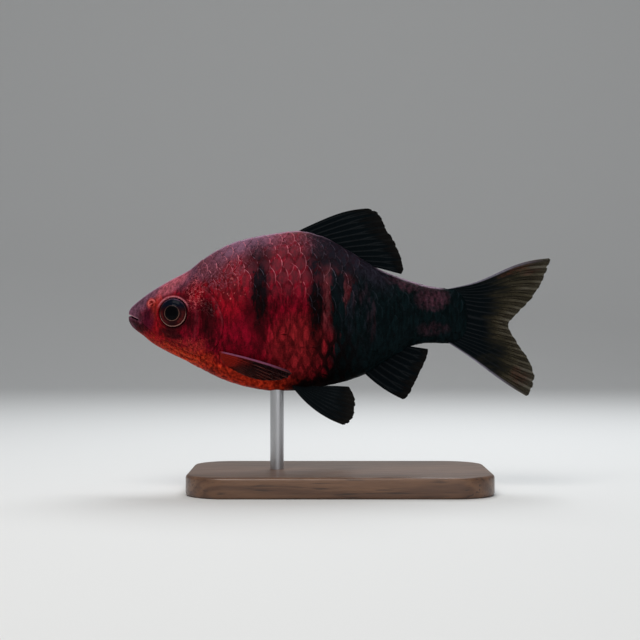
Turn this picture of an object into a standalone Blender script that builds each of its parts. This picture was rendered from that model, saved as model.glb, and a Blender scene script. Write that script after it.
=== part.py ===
"""A black ruby barb, life size: a still museum model on a plain display stand.

Metres, +Z up. The head points to -X and the fish's left side faces -Y. The origin is on the floor under
the middle of the fish. The fish's own sizes are read from the tip of its snout: x runs back along the
body, z is the height above the snout, and the object "barb" carries them to their place over the stand.
"""

import math

import bmesh
import bpy
import numpy as np
from mathutils import Matrix, Vector

MM = 0.001
GAP = 0.3 * MM  # kept between pieces that touch

# The whole fish
TOTAL_LENGTH = 62.0 * MM  # snout to the tip of the tail's upper lobe
SNOUT_HEIGHT = 25.5 * MM  # snout above the floor

# Body outline, in millimetres from the snout: place, back, belly, half width
STATIONS = (
    (0.0, -0.15, -0.15, 0.0),
    (0.1, 0.66, -0.85, 0.52),
    (0.4, 1.28, -1.45, 0.98),
    (1.0, 1.84, -2.05, 1.42),
    (2.0, 2.66, -2.78, 1.92),
    (3.5, 3.72, -4.00, 2.48),
    (6.0, 5.20, -5.42, 3.20),
    (9.0, 6.82, -6.92, 3.86),
    (10.6, 8.15, -7.80, 4.18),
    (12.6, 9.45, -8.85, 4.46),
    (15.0, 10.65, -9.82, 4.70),
    (18.0, 11.52, -10.62, 4.82),
    (21.5, 12.15, -11.08, 4.80),
    (25.0, 12.52, -10.98, 4.62),
    (28.4, 11.75, -10.35, 4.30),
    (31.8, 10.00, -9.60, 3.84),
    (34.6, 8.22, -8.62, 3.40),
    (37.0, 6.80, -7.15, 2.98),
    (39.2, 5.90, -5.82, 2.58),
    (41.5, 5.12, -4.40, 2.16),
    (44.3, 4.35, -3.95, 1.68),
    (47.2, 4.00, -4.00, 1.18),
    (49.9, 3.80, -3.80, 0.44),
)
STEM_ROUND_FROM = 47.2 * MM  # the tail stem's end is rounded off from here
STEM_END = 49.9 * MM
STEM_ROUNDNESS = 2.6
STEM_ROWS = (0, 0.2, 0.42, 0.64, 0.8, 0.9, 0.96, 1)
SIDE_STEPS = 20  # facets from the belly up to the back, on each side

# Cuts between head, trunk and tail stem
GILL_EDGE = ((-8.5, 9.2), (-6.6, 11.2), (-4.0, 13.5), (-0.9, 14.1), (1.9, 13.4), (5.6, 11.2), (8.6, 9.2))  # z, x
TRUNK_END = 41.8 * MM

# Mouth
MOUTH_SLOPE = 0.42
MOUTH_LEVEL = 0.06 * MM
MOUTH_DEPTH = 1.4 * MM
MOUTH_OPEN = 0.34 * MM
LIP_SWELL = 0.24 * MM
LIP_PLACE = 0.46 * MM  # from the mouth's line to the top of each lip
LIP_WIDTH = 0.34 * MM
LIP_END = 2.1 * MM

# Eyes
EYE_PLACE = (6.83 * MM, 0.46 * MM)
EYE_RADIUS = 2.2 * MM
EYE_HALF_DEPTH = 1.1 * MM
EYE_SUNK = 0.38 * MM  # from the head's surface in to the eye's widest part
ORBIT_RADIUS = 2.5 * MM
ORBIT_RIM = 0.2 * MM

# Nostrils
NOSTRIL_PLACE = (3.6 * MM, 1.82 * MM)
NOSTRIL_RADIUS = 0.42 * MM
NOSTRIL_RIM = 0.13 * MM
NOSTRIL_OPENING = 0.2 * MM  # half the width of each of its two openings
NOSTRIL_DEPTH = 0.45 * MM

# Gill covers: outline of the front, top and bottom in the side view, closed along GILL_EDGE
GILL_COVER = ((11.8, 5.0), (10.6, 4.4), (10.0, 2.6), (9.9, -0.6), (10.05, -3.3), (10.7, -5.1), (11.6, -6.2))
GILL_COVER_OUT = 0.22 * MM
GILL_COVER_IN = 0.85 * MM

# Fins
RAY_RIDGE = 0.16 * MM
FIN_ROOT_HALF = 0.42 * MM
FIN_HALF = 0.26 * MM
FIN_EDGE_HALF = 0.13 * MM
FIN_ROWS = (0.0, 0.16, 0.38, 0.62, 0.84, 1.0)
ELBOW_ROWS = (0.0, 0.035, 0.12, 0.34, 0.6, 0.84, 1.0)
EDGE_NOTCH = 0.025  # how far the membrane falls short of the ray tips, as a share of a ray
RIDGE_PROFILE = ((0.0, 0.0), (0.26, 0.0), (0.5, 1.0), (0.74, 0.0))
NARROW_PROFILE = ((0.0, 0.0), (0.5, 1.0))
DORSAL_RAYS = 11
ANAL_RAYS = 8
CAUDAL_RAYS = 19
PELVIC_RAYS = 9
PECTORAL_RAYS = 12
PECTORAL_ROOT_HALF = 0.3 * MM
PECTORAL_ELBOW = 0.62 * MM  # the fin stands out this far from the flank before it turns back along it

# Display stand
BASE_SIZE = (44.0 * MM, 26.0 * MM, 3.0 * MM)
BASE_CORNER = 6.0 * MM
BASE_BEVEL = 0.5 * MM
ROD_RADIUS = 1.0 * MM
ROD_PLACE = 21.8 * MM  # from the snout, under the belly just ahead of the pelvic fins
ROD_SIDES = 20


def clear_scene():
    for old in list(bpy.data.objects):
        bpy.data.objects.remove(old)


def collection(name):
    made = bpy.data.collections.new(name)
    bpy.context.scene.collection.children.link(made)
    return made


def material(name, colour, roughness, metallic=0.0):
    made = bpy.data.materials.new(name)
    made.use_nodes = True
    shader = made.node_tree.nodes["Principled BSDF"]
    shader.inputs["Base Color"].default_value = (*colour, 1.0)
    shader.inputs["Roughness"].default_value = roughness
    shader.inputs["Metallic"].default_value = metallic
    made.diffuse_color = (*colour, 1.0)
    return made


def fitted(places, values):
    """A smooth curve through the values that never swings past them."""
    t, v = np.asarray(places, float), np.asarray(values, float)
    step = np.diff(t)
    rise = np.diff(v) / step
    slope = np.zeros_like(v)
    slope[0], slope[-1] = rise[0], rise[-1]
    same_way = rise[:-1] * rise[1:] > 0
    before, after = 2 * step[1:] + step[:-1], step[1:] + 2 * step[:-1]
    mean = (before + after) / (before / np.where(same_way, rise[:-1], 1) + after / np.where(same_way, rise[1:], 1))
    slope[1:-1] = np.where(same_way, mean, 0)

    def at(x):
        i = np.clip(np.searchsorted(t, x) - 1, 0, len(step) - 1)
        q = (np.clip(x, t[0], t[-1]) - t[i]) / step[i]
        ends = v[i] * (1 + 2 * q) * (1 - q) ** 2 + v[i + 1] * q * q * (3 - 2 * q)
        return ends + step[i] * (slope[i] * q * (1 - q) ** 2 + slope[i + 1] * q * q * (q - 1))

    return at


def line_through(points, samples=400):
    """A smooth line through points, as a function of the share of its length."""
    p = np.asarray(points, float)
    p = np.vstack([2 * p[0] - p[1], p, 2 * p[-1] - p[-2]])
    spans = len(p) - 3
    t = np.linspace(0, spans, samples)
    i = np.minimum(t.astype(int), spans - 1)
    q = (t - i)[:, None]
    a, b, c, d = p[i], p[i + 1], p[i + 2], p[i + 3]
    line = 0.5 * (2 * b + (c - a) * q + (2 * a - 5 * b + 4 * c - d) * q**2 + (3 * b - a - 3 * c + d) * q**3)
    run = np.concatenate([[0], np.cumsum(np.linalg.norm(np.diff(line, axis=0), axis=1))])
    share = run / run[-1]

    def at(s):
        return np.array([np.interp(s, share, line[:, k]) for k in range(line.shape[1])]).T

    return at


def ease(x, start, end):
    q = np.clip((x - start) / (end - start), 0, 1)
    return q * q * (3 - 2 * q)


# The body's outline is fitted over the root of the distance, which makes the snout round.
_place, _back, _belly, _half = np.array(STATIONS).T * MM
_spread = np.sqrt(_place)
back_line = fitted(_spread, _back)
belly_line = fitted(_spread, _belly)
half_line = fitted(_spread, _half)
gill_edge = fitted(*np.array(GILL_EDGE).T * MM)


def section(x):
    """Middle height, half height and half width of the body at x."""
    root = np.sqrt(np.maximum(x, 0))
    back, belly, half = back_line(root), belly_line(root), half_line(root)
    past = np.clip((x - STEM_ROUND_FROM) / (STEM_END - STEM_ROUND_FROM), 0, 1)
    kept = (1 - past**STEM_ROUNDNESS) ** (1 / STEM_ROUNDNESS)
    return (back + belly) / 2, (back - belly) / 2 * kept, half


def fullness(x, up):
    """Under 1 makes a section boxier than an oval, over 1 leaner: a broad forehead, a lean back."""
    forehead_to_back = 0.84 + 0.28 * ease(x, 8 * MM, 18 * MM)
    throat_to_belly = 1.05 - 0.13 * ease(x, 8 * MM, 20 * MM) + 0.08 * ease(x, 34 * MM, 44 * MM)
    return np.where(up > 0, forehead_to_back, throat_to_belly)


def half_width(x, z):
    middle, high, wide = section(x)
    up = np.clip((z - middle) / high, -1, 1)
    return wide * np.sqrt(1 - up * up) ** fullness(x, up)


def mouth_line(x):
    return MOUTH_LEVEL - MOUTH_SLOPE * x


def lip_swell(x, z):
    off = np.abs(z - mouth_line(x)) - LIP_PLACE
    return LIP_SWELL * np.exp(-((off / LIP_WIDTH) ** 2)) * (1 - ease(x, 0.6 * LIP_END, LIP_END))


def skin_point(x, turn, grown=0.0):
    """A point of the left side at x. turn runs from -90 degrees on the belly to 90 on the back."""
    middle, high, wide = section(x)
    up, out = np.sin(turn), np.maximum(np.cos(turn), 0)
    y = (wide + grown) * out ** fullness(x, up)
    z = middle + (high + grown) * up
    swell = lip_swell(x, z)
    reach = np.maximum(np.hypot(y, z - middle), 1e-9)
    return np.stack([x, -y * (1 + swell / reach), z + swell * (z - middle) / reach], -1)


def finished(name, bm, into, look=None):
    """An object from a closed mesh, with its faces turned outwards."""
    bmesh.ops.recalc_face_normals(bm, faces=bm.faces)
    if bm.calc_volume(signed=True) < 0:
        bmesh.ops.reverse_faces(bm, faces=bm.faces)
    mesh = bpy.data.meshes.new(name)
    bm.to_mesh(mesh)
    bm.free()
    mesh.shade_smooth()
    mesh.set_sharp_from_angle(angle=math.radians(40))
    if look:
        mesh.materials.append(look)
    made = bpy.data.objects.new(name, mesh)
    into.objects.link(made)
    return made


def mesh_object(name, points, faces, into, look=None):
    bm = bmesh.new()
    corners = [bm.verts.new(tuple(p)) for p in points]
    for face in faces:
        bm.faces.new([corners[i] for i in face])
    return finished(name, bm, into, look)


def lofted(name, places, into, look, grown=0.0, point_at_front=False):
    """A stretch of the body. places[i][k] is the x of row i at step k from the belly to the back."""
    turns = np.linspace(-math.pi / 2, math.pi / 2, SIDE_STEPS + 1)
    left = np.array([skin_point(row, turns, grown) for row in places])
    right = left[:, 1:-1][:, ::-1] * (1, -1, 1)
    rings = np.concatenate([left, right], axis=1)
    count = rings.shape[1]
    points = rings.reshape(-1, 3)
    faces = []
    for i in range(len(places) - 1):
        for k in range(count):
            a, b = i * count + k, i * count + (k + 1) % count
            faces.append((a, a + count, b + count, b))
    ends = [(len(places) - 1, True)]
    if not point_at_front:
        ends.append((0, False))
    for i, rear in ends:
        for k in range(SIDE_STEPS):
            a, b = i * count + k, i * count + k + 1
            c, d = i * count + (count - k - 1) % count, i * count + (count - k) % count
            face = [a, d, c, b] if rear else [a, b, c, d]
            faces.append([p for n, p in enumerate(face) if p not in face[:n]])
    if point_at_front:
        points = np.vstack([points, skin_point(np.zeros(1), np.zeros(1))])
        faces += [(len(points) - 1, k, (k + 1) % count) for k in range(count)]
    return mesh_object(name, points, faces, into, look)


def gill_ring():
    """The x at which each step of the side meets the gill edge."""
    turns = np.linspace(-math.pi / 2, math.pi / 2, SIDE_STEPS + 1)
    x = np.full(len(turns), 12 * MM)
    for _ in range(40):
        x = 0.5 * x + 0.5 * gill_edge(skin_point(x, turns)[:, 2])
    return x


def rows_between(front, rear, count, crowding=1.0):
    shares = np.linspace(0, 1, count + 1) ** crowding
    return [front + (rear - front) * share for share in shares]


def fin_object(name, base, margin, rays, first, last, look, into, profile=RIDGE_PROFILE, elbow=0.0):
    """A fan of rays from the base line to the margin line. Each ray is a ridge on both sides of the membrane.

    base and margin give a point for each share from the first ray to the last. first and last say how those
    two rays bend in the side view, in millimetres: how far each bows up, and how far it then sways back.
    elbow is how far the whole root stands out along Y before the fin turns back along the body.
    """
    columns = [((ray + place) / rays, crest) for ray in range(rays) for place, crest in profile] + [(1.0, 0.0)]
    across = np.array([s for s, _ in columns])
    crest = np.array([c for _, c in columns])[:, None]
    along = np.array(ELBOW_ROWS if elbow else FIN_ROWS)[None, :]
    root, tip = base(across)[:, None, :], margin(across)[:, None, :]
    reach = along * (1 - EDGE_NOTCH * (1 - crest) * along)
    side = np.cross(tip - root, (0, 1, 0))
    side /= np.linalg.norm(side, axis=2, keepdims=True)
    bow, sway = (np.outer((1 - across) ** 2, first) + np.outer(across**2, last)).T[..., None] * MM
    bend = bow * 4 * along * (1 - along) + sway * np.sin(2 * math.pi * along)
    middle = root + (tip - root) * reach[..., None] + side * bend[..., None]
    middle[..., 1] += elbow * (ease(along, 0, ELBOW_ROWS[1]) - along)
    normal = np.cross(np.gradient(middle, axis=0), np.gradient(middle, axis=1))
    normal /= np.linalg.norm(normal, axis=2, keepdims=True)
    root_half = PECTORAL_ROOT_HALF if elbow else FIN_ROOT_HALF
    half = FIN_HALF + (root_half - FIN_HALF) * (1 - ease(along, 0, 0.3))
    half = half + (FIN_EDGE_HALF - FIN_HALF) * ease(along, 0.75, 1.0)
    half = half + RAY_RIDGE * crest * (1 - 0.75 * along)
    wide, long = middle.shape[:2]
    points = np.concatenate([(middle + normal * half[..., None]), (middle - normal * half[..., None])])
    points = points.reshape(-1, 3)
    under = wide * long
    faces = []
    for i in range(wide - 1):
        for j in range(long - 1):
            a, b, c, d = i * long + j, (i + 1) * long + j, (i + 1) * long + j + 1, i * long + j + 1
            faces += [(a, b, c), (a, c, d)]
            faces += [(under + a, under + c, under + b), (under + a, under + d, under + c)]
    rim = [i * long for i in range(wide)] + [(wide - 1) * long + j for j in range(1, long)]
    rim += [i * long + long - 1 for i in range(wide - 2, -1, -1)] + [j for j in range(long - 2, 0, -1)]
    for a, b in zip(rim, rim[1:] + rim[:1]):
        faces += [(a, under + b, b), (a, under + a, under + b)]
    return mesh_object(name, points, faces, into, look)


def in_plane(points):
    """A line through (x, z) points in millimetres, in the fish's middle plane."""
    return line_through([(x * MM, 0, z * MM) for x, z in points])


def dorsal_fin(look, into):
    front, rear = 25.0 * MM, 36.4 * MM

    def base(s):
        x = front + (rear - front) * s
        return np.stack([x, 0 * x, back_line(np.sqrt(x)) + 1.2 * GAP], -1)

    outline = ((34.9, 15.85), (35.9, 15.6), (36.9, 14.95), (37.9, 12.8), (39.0, 11.1), (39.9, 9.0), (40.4, 7.1))
    margin = in_plane(outline + ((40.15, 6.15),))
    fin_object("dorsal_fin", base, margin, DORSAL_RAYS, (0.52, -0.08), (0, 0), look, into)


def anal_fin(look, into):
    front, rear = 34.8 * MM, 41.4 * MM

    def base(s):
        x = front + (rear - front) * s
        return np.stack([x, 0 * x, belly_line(np.sqrt(x)) - 1.3 * GAP], -1)

    margin = in_plane(((40.4, -12.3), (41.3, -11.5), (42.0, -10.0), (43.0, -7.95), (43.9, -5.9), (44.05, -4.85)))
    fin_object("anal_fin", base, margin, ANAL_RAYS, (-0.3, 0.0), (0, 0), look, into)


def caudal_fin(look, into):
    high, long = 4.0 * MM + GAP, STEM_END - STEM_ROUND_FROM + GAP

    def base(s):
        turn = math.pi * (0.5 - s)
        x = STEM_ROUND_FROM + long * np.maximum(np.cos(turn), 0) ** (2 / STEM_ROUNDNESS)
        z = high * np.sign(np.sin(turn)) * np.abs(np.sin(turn)) ** (2 / STEM_ROUNDNESS)
        return np.stack([x, 0 * x, z], -1)

    upper = ((TOTAL_LENGTH / MM, 8.55), (61.75, 7.3), (61.0, 5.4), (59.6, 3.0), (57.7, 0.9))
    fork = ((56.2, -0.6), (55.9, -1.4), (56.2, -2.4))
    lower = ((57.6, -4.6), (59.0, -6.7), (59.6, -8.4), (59.5, -10.4), (58.6, -11.85))
    margin = in_plane(upper + fork + lower)
    fin_object("caudal_fin", base, margin, CAUDAL_RAYS, (0.2, -0.36), (-0.1, 0.1), look, into)


def belly_at(x, y):
    """The belly's height at x, y off the middle plane."""
    middle, high, wide = section(x)
    out = (np.abs(y) / wide) ** (1 / fullness(x, -1.0))
    return middle - high * np.sqrt(1 - out * out)


def pelvic_fin(name, side, look, into):
    def on_belly(x, y):
        x, y = x * MM, y * MM
        slope = (belly_at(x, y + 0.1 * MM) - belly_at(x, y - 0.1 * MM)) / (0.2 * MM)
        out = Vector((0, slope, -1)).normalized() * GAP * 1.2
        return (x, side * (y + out.y), belly_at(x, y) + out.z)

    base = line_through([on_belly(24.2, 1.75), on_belly(25.5, 1.45), on_belly(26.7, 1.2)])
    outline = ((31.2, 4.2, -15.65), (32.1, 4.25, -15.55), (32.9, 4.0, -14.6), (33.2, 3.4, -13.0))
    outline += ((33.1, 2.8, -11.7), (32.4, 2.2, -10.5))
    margin = line_through([(x * MM, side * y * MM, z * MM) for x, y, z in outline])
    fin_object(name, base, margin, PELVIC_RAYS, (-0.68, 0.0), (0.1, 0), look, into, NARROW_PROFILE)


def pectoral_fin(name, side, look, into):
    def on_body(x, z):
        out = half_width(x * MM, z * MM) + 1.15 * GAP
        return (x * MM, side * float(out), z * MM)

    base = line_through([on_body(13.6, -5.1), on_body(13.8, -5.9), on_body(14.2, -6.8)])
    outline = ((23.7, 5.5, -7.85), (24.0, 5.45, -8.4), (23.4, 5.25, -8.95), (21.8, 4.85, -9.3))
    outline += ((20.0, 4.55, -9.3), (18.2, 4.25, -8.95), (16.8, 4.1, -8.35))
    margin = line_through([(x * MM, side * y * MM, z * MM) for x, y, z in outline])
    elbow = side * PECTORAL_ELBOW
    fin_object(name, base, margin, PECTORAL_RAYS, (0.2, 0.0), (-0.1, 0), look, into, NARROW_PROFILE, elbow)


def skin_frame(x, z, side):
    """A frame on the head's side whose Z points straight out of the skin."""
    step = 0.2 * MM
    along = Vector((2 * step, side * float(half_width(x + step, z) - half_width(x - step, z)), 0))
    up = Vector((0, side * float(half_width(x, z + step) - half_width(x, z - step)), 2 * step))
    out = along.cross(up).normalized()
    out = out if out.y * side > 0 else -out
    middle = Vector((x, side * float(half_width(x, z)), z))
    return Matrix.Translation(middle) @ out.to_track_quat("Z", "Y").to_matrix().to_4x4()


def ellipsoid(name, frame, radius, half_depth, into, look=None, around=26, up=12):
    bm = bmesh.new()
    bmesh.ops.create_uvsphere(bm, u_segments=around, v_segments=up, radius=1.0)
    bm.transform(frame @ Matrix.Diagonal((radius, radius, half_depth, 1)))
    return finished(name, bm, into, look)


def ring_on_skin(name, place, side, radius, tube, into, around=28, sides=6):
    """A round welt that follows the skin about a place on the head's side."""
    turns = np.linspace(0, 2 * math.pi, around, endpoint=False)
    rolls = np.linspace(0, 2 * math.pi, sides, endpoint=False)
    centre = skin_frame(*place, side).translation
    points = []
    for turn in turns:
        frame = skin_frame(place[0] + radius * math.cos(turn), place[1] + radius * math.sin(turn), side)
        out = frame.to_3x3() @ Vector((0, 0, 1))
        away = frame.translation - centre
        away = (away - away.dot(out) * out).normalized()
        points += [frame.translation + tube * (math.cos(roll) * away + math.sin(roll) * out) for roll in rolls]
    faces = []
    for i in range(around):
        for j in range(sides):
            after, above = (i + 1) % around, (j + 1) % sides
            faces.append((i * sides + j, after * sides + j, after * sides + above, i * sides + above))
    return mesh_object(name, points, faces, into)


def prism(name, outline, low, high, into):
    """An outline of (x, z) points, pulled along Y from low to high."""
    bm = bmesh.new()
    bottom = bm.faces.new([bm.verts.new((x, low, z)) for x, z in outline])
    pulled = bmesh.ops.extrude_face_region(bm, geom=[bottom])
    moved = [v for v in pulled["geom"] if isinstance(v, bmesh.types.BMVert)]
    bmesh.ops.translate(bm, verts=moved, vec=(0, high - low, 0))
    return finished(name, bm, into)


def boolean(target, operation, other):
    made = target.modifiers.new(operation.lower(), "BOOLEAN")
    made.operation = operation
    if isinstance(other, bpy.types.Collection):
        made.operand_type = "COLLECTION"
        made.collection = other
    else:
        made.object = other
    made.solver = "EXACT"
    return made


def settled(obj, *spent):
    """Makes the object's Booleans part of its mesh, keeps its largest closed surface and removes their cutters."""
    whole = bpy.data.meshes.new_from_object(obj.evaluated_get(bpy.context.evaluated_depsgraph_get()))
    obj.modifiers.clear()
    old, obj.data = obj.data, whole
    bpy.data.meshes.remove(old)
    bm = bmesh.new()
    bm.from_mesh(whole)
    left, largest = set(bm.verts), []
    while left:
        piece = [left.pop()]
        for vert in piece:
            near = {edge.other_vert(vert) for edge in vert.link_edges} & left
            left -= near
            piece.extend(near)
        largest = max(largest, piece, key=len)
    bmesh.ops.delete(bm, geom=list(set(bm.verts) - set(largest)), context="VERTS")
    bm.to_mesh(whole)
    bm.free()
    whole.shade_smooth()
    whole.set_sharp_from_angle(angle=math.radians(40))
    for group in spent:
        for other in list(group.objects):
            bpy.data.objects.remove(other)
        bpy.data.collections.remove(group)


def gill_cover_outline(grown):
    """The gill cover in the side view, with the edge of grown added in front, above and below."""
    front = np.array(GILL_COVER) * MM
    middle = np.array((gill_edge(0.0), 0.0))
    front = front + (front - middle) / np.linalg.norm(front - middle, axis=1, keepdims=True) * grown
    front = line_through(front)(np.linspace(0, 1, 16))
    low, high = front[-1, 1], front[0, 1]
    levels = np.linspace(low, high, 15)
    rear = np.stack([gill_edge(levels) + 3 * grown, levels], -1)
    return [tuple(p) for p in np.vstack([front[:-1], rear[:-1], [front[0] + (3 * grown, 0)]])]


def near_head(name, grown, into):
    """The head's side grown or shrunk, past the gill edge, to shape the gill covers with."""
    turns = SIDE_STEPS + 1
    rows = [np.full(turns, x * MM) for x in np.linspace(7.0, 17.0, 13)]
    return lofted(name, rows, into, None, grown)


def gill_cover(name, side, look, into, outer, inner, cutters):
    low, high = sorted((side * 1.0 * MM, side * 7.0 * MM))
    plate = prism(name, gill_cover_outline(0.0), low, high, into)
    plate.data.materials.append(look)
    boolean(plate, "INTERSECT", outer)
    boolean(plate, "DIFFERENCE", inner)
    deep = near_head(f"{name}_bed", -GILL_COVER_IN - GAP, cutters)
    room = prism(f"{name}_room", gill_cover_outline(GAP), low, high, cutters)
    boolean(room, "DIFFERENCE", deep)
    return plate, room


def mouth_cut(into):
    """A thin wedge along the mouth's line, through the snout from side to side."""
    rear = MOUTH_DEPTH
    front = -0.5 * MM
    outline = (
        (front, mouth_line(front) - 0.6 * MOUTH_OPEN),
        (rear, mouth_line(rear) - 0.25 * MOUTH_OPEN),
        (rear, mouth_line(rear) + 0.25 * MOUTH_OPEN),
        (front, mouth_line(front) + 0.6 * MOUTH_OPEN),
    )
    return prism("mouth_cut", outline, -3 * MM, 3 * MM, into)


def stand_base(look, into):
    bpy.ops.mesh.primitive_cube_add(size=1, location=(0, 0, BASE_SIZE[2] / 2))
    base = bpy.context.object
    base.name = base.data.name = "stand_base"
    base.data.transform(Matrix.Diagonal((*BASE_SIZE, 1)))
    bm = bmesh.new()
    bm.from_mesh(base.data)
    corners = [e for e in bm.edges if abs(e.verts[0].co.z - e.verts[1].co.z) > BASE_SIZE[2] / 2]
    bmesh.ops.bevel(bm, geom=corners, offset=BASE_CORNER, segments=7, profile=0.5, affect="EDGES")
    bm.to_mesh(base.data)
    bm.free()
    bevel = base.modifiers.new("edges", "BEVEL")
    bevel.width = BASE_BEVEL
    bevel.segments = 2
    bevel.limit_method = "ANGLE"
    bevel.angle_limit = math.radians(60)
    base.data.materials.append(look)
    for old in base.users_collection:
        old.objects.unlink(base)
    into.objects.link(base)


def stand_rod(look, into):
    """A rod from the stand's base to the belly, its top shaped to the belly above it."""
    turns = np.linspace(0, 2 * math.pi, ROD_SIDES, endpoint=False)
    x, y = ROD_PLACE + ROD_RADIUS * np.cos(turns), ROD_RADIUS * np.sin(turns)
    x, y = np.append(x, ROD_PLACE), np.append(y, 0.0)
    top = np.stack([x, y, belly_at(x, y) - GAP], -1)
    foot = np.stack([x, y, np.full(len(x), BASE_SIZE[2] + GAP - SNOUT_HEIGHT)], -1)
    count = ROD_SIDES
    faces = []
    for k in range(count):
        after = (k + 1) % count
        faces += [(k, after, count), (count + 1 + k, 2 * count + 1, count + 1 + after)]
        faces += [(k, count + 1 + k, count + 1 + after), (k, count + 1 + after, after)]
    return mesh_object("stand_rod", np.vstack([top, foot]), faces, into, look)


def build():
    clear_scene()
    fish = collection("black_ruby_barb")
    cutters = collection("cutters")
    unions = collection("head_reliefs")
    cuts = collection("head_cuts")
    barb = bpy.data.objects.new("barb", None)
    barb.location = (-TOTAL_LENGTH / 2, 0, SNOUT_HEIGHT)
    bpy.context.scene.collection.objects.link(barb)

    red = material("ruby_skin", (0.26, 0.012, 0.016), 0.42)
    dull_red = material("gill_cover_skin", (0.20, 0.010, 0.016), 0.38)
    trunk_red = material("trunk_skin", (0.12, 0.008, 0.012), 0.45)
    black = material("black_skin", (0.010, 0.012, 0.016), 0.45)
    fin_black = material("fin_black", (0.008, 0.008, 0.010), 0.5)
    pectoral_tint = material("pectoral_membrane", (0.10, 0.012, 0.014), 0.4)
    eye_dark = material("eye_dark", (0.012, 0.008, 0.010), 0.08)
    walnut = material("stand_wood", (0.10, 0.045, 0.022), 0.4)
    steel = material("stand_steel", (0.45, 0.45, 0.46), 0.3, 1.0)

    gill = gill_ring()
    head = lofted("head", rows_between(0 * gill, gill, 28, 1.8)[1:], fish, red, point_at_front=True)
    start, end = gill + 1.1 * GAP, np.full_like(gill, TRUNK_END - GAP / 2)
    lofted("trunk", rows_between(start, end, 21), fish, trunk_red)
    stem_front, stem_rear = np.full_like(gill, TRUNK_END + GAP / 2), np.full_like(gill, STEM_END - 0.03 * MM)
    stem_rows = [stem_front + (stem_rear - stem_front) * share for share in STEM_ROWS]
    lofted("tail_stem", stem_rows, fish, black)

    outer = near_head("gill_cover_outside", GILL_COVER_OUT, cutters)
    inner = near_head("gill_cover_inside", -GILL_COVER_IN, cutters)
    mouth_cut(cuts)
    for word, side in (("left", -1), ("right", 1)):
        _, room = gill_cover(f"gill_cover_{word}", side, dull_red, fish, outer, inner, cutters)
        cutters.objects.unlink(room)
        cuts.objects.link(room)
        frame = skin_frame(*EYE_PLACE, side) @ Matrix.Translation((0, 0, -EYE_SUNK))
        ellipsoid(f"eye_{word}", frame, EYE_RADIUS, EYE_HALF_DEPTH, fish, eye_dark)
        ellipsoid(f"socket_{word}", frame, EYE_RADIUS + GAP, EYE_HALF_DEPTH + GAP, cuts)
        ring_on_skin(f"orbit_{word}", EYE_PLACE, side, ORBIT_RADIUS, ORBIT_RIM, unions)
        x, z = NOSTRIL_PLACE
        ring_on_skin(f"nostril_rim_{word}", (x, z), side, NOSTRIL_RADIUS, NOSTRIL_RIM, unions, around=12)
        for place, height in (("upper", z + 1.05 * NOSTRIL_OPENING), ("lower", z - 1.05 * NOSTRIL_OPENING)):
            opening = skin_frame(x, height, side)
            cutter = f"nostril_{place}_{word}"
            ellipsoid(cutter, opening, NOSTRIL_OPENING, NOSTRIL_DEPTH, cuts, around=8, up=6)
        pectoral_fin(f"pectoral_fin_{word}", side, pectoral_tint, fish)
        pelvic_fin(f"pelvic_fin_{word}", side, fin_black, fish)
    boolean(head, "UNION", unions)
    settled(head, unions)
    boolean(head, "DIFFERENCE", cuts)
    settled(head, cuts)

    dorsal_fin(fin_black, fish)
    anal_fin(fin_black, fish)
    caudal_fin(fin_black, fish)
    stand_rod(steel, fish)
    for group in (fish, cutters):
        for obj in group.objects:
            obj.parent = barb
            if group is not fish:
                obj.hide_render = True
                obj.display_type = "WIRE"
    stand_base(walnut, fish)


build()
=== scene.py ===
"""The look of the black ruby barb: skin, scales, eyes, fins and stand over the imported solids.

Sizes are in millimetres and are read from the tip of the fish's snout, x back along the body, z up, until
placed() carries them to the frame, which is in metres. The fish's left side faces -Y, towards the camera.
"""

import math
from functools import partial, reduce
from types import SimpleNamespace

import bmesh
import bpy
import numpy as np
from mathutils import Matrix, Vector


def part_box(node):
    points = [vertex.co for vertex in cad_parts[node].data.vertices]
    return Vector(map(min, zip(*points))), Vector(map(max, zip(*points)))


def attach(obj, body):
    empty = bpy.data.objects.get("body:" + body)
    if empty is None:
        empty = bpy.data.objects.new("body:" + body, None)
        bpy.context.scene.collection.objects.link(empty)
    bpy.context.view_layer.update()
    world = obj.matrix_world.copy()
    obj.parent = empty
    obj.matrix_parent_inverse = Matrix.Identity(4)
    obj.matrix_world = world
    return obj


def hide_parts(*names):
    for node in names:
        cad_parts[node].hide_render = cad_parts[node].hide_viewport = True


MM = 0.001
LENGTH = 62.0
SNOUT_HEIGHT = 25.5
SIDES = (("left", -1), ("right", 1))
rng = np.random.default_rng(7)

# Body outline: place, back, belly, half width
STATIONS = (
    (0.0, -0.15, -0.15, 0.0),
    (0.1, 0.66, -0.85, 0.52),
    (0.4, 1.28, -1.45, 0.98),
    (1.0, 1.84, -2.05, 1.42),
    (2.0, 2.66, -2.78, 1.92),
    (3.5, 3.72, -4.00, 2.48),
    (6.0, 5.20, -5.42, 3.20),
    (9.0, 6.82, -6.92, 3.86),
    (10.6, 8.15, -7.80, 4.18),
    (12.6, 9.45, -8.85, 4.46),
    (15.0, 10.65, -9.82, 4.70),
    (18.0, 11.52, -10.62, 4.82),
    (21.5, 12.15, -11.08, 4.80),
    (25.0, 12.52, -10.98, 4.62),
    (28.4, 11.75, -10.35, 4.30),
    (31.8, 10.00, -9.60, 3.84),
    (34.6, 8.22, -8.62, 3.40),
    (37.0, 6.80, -7.15, 2.98),
    (39.2, 5.90, -5.82, 2.58),
    (41.5, 5.12, -4.40, 2.16),
    (44.3, 4.35, -3.95, 1.68),
    (47.2, 4.00, -4.00, 1.18),
    (49.9, 3.80, -3.80, 0.44),
)
STEM_ROUND_FROM = 47.2
STEM_END = 49.9
STEM_ROUNDNESS = 2.6
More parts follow.
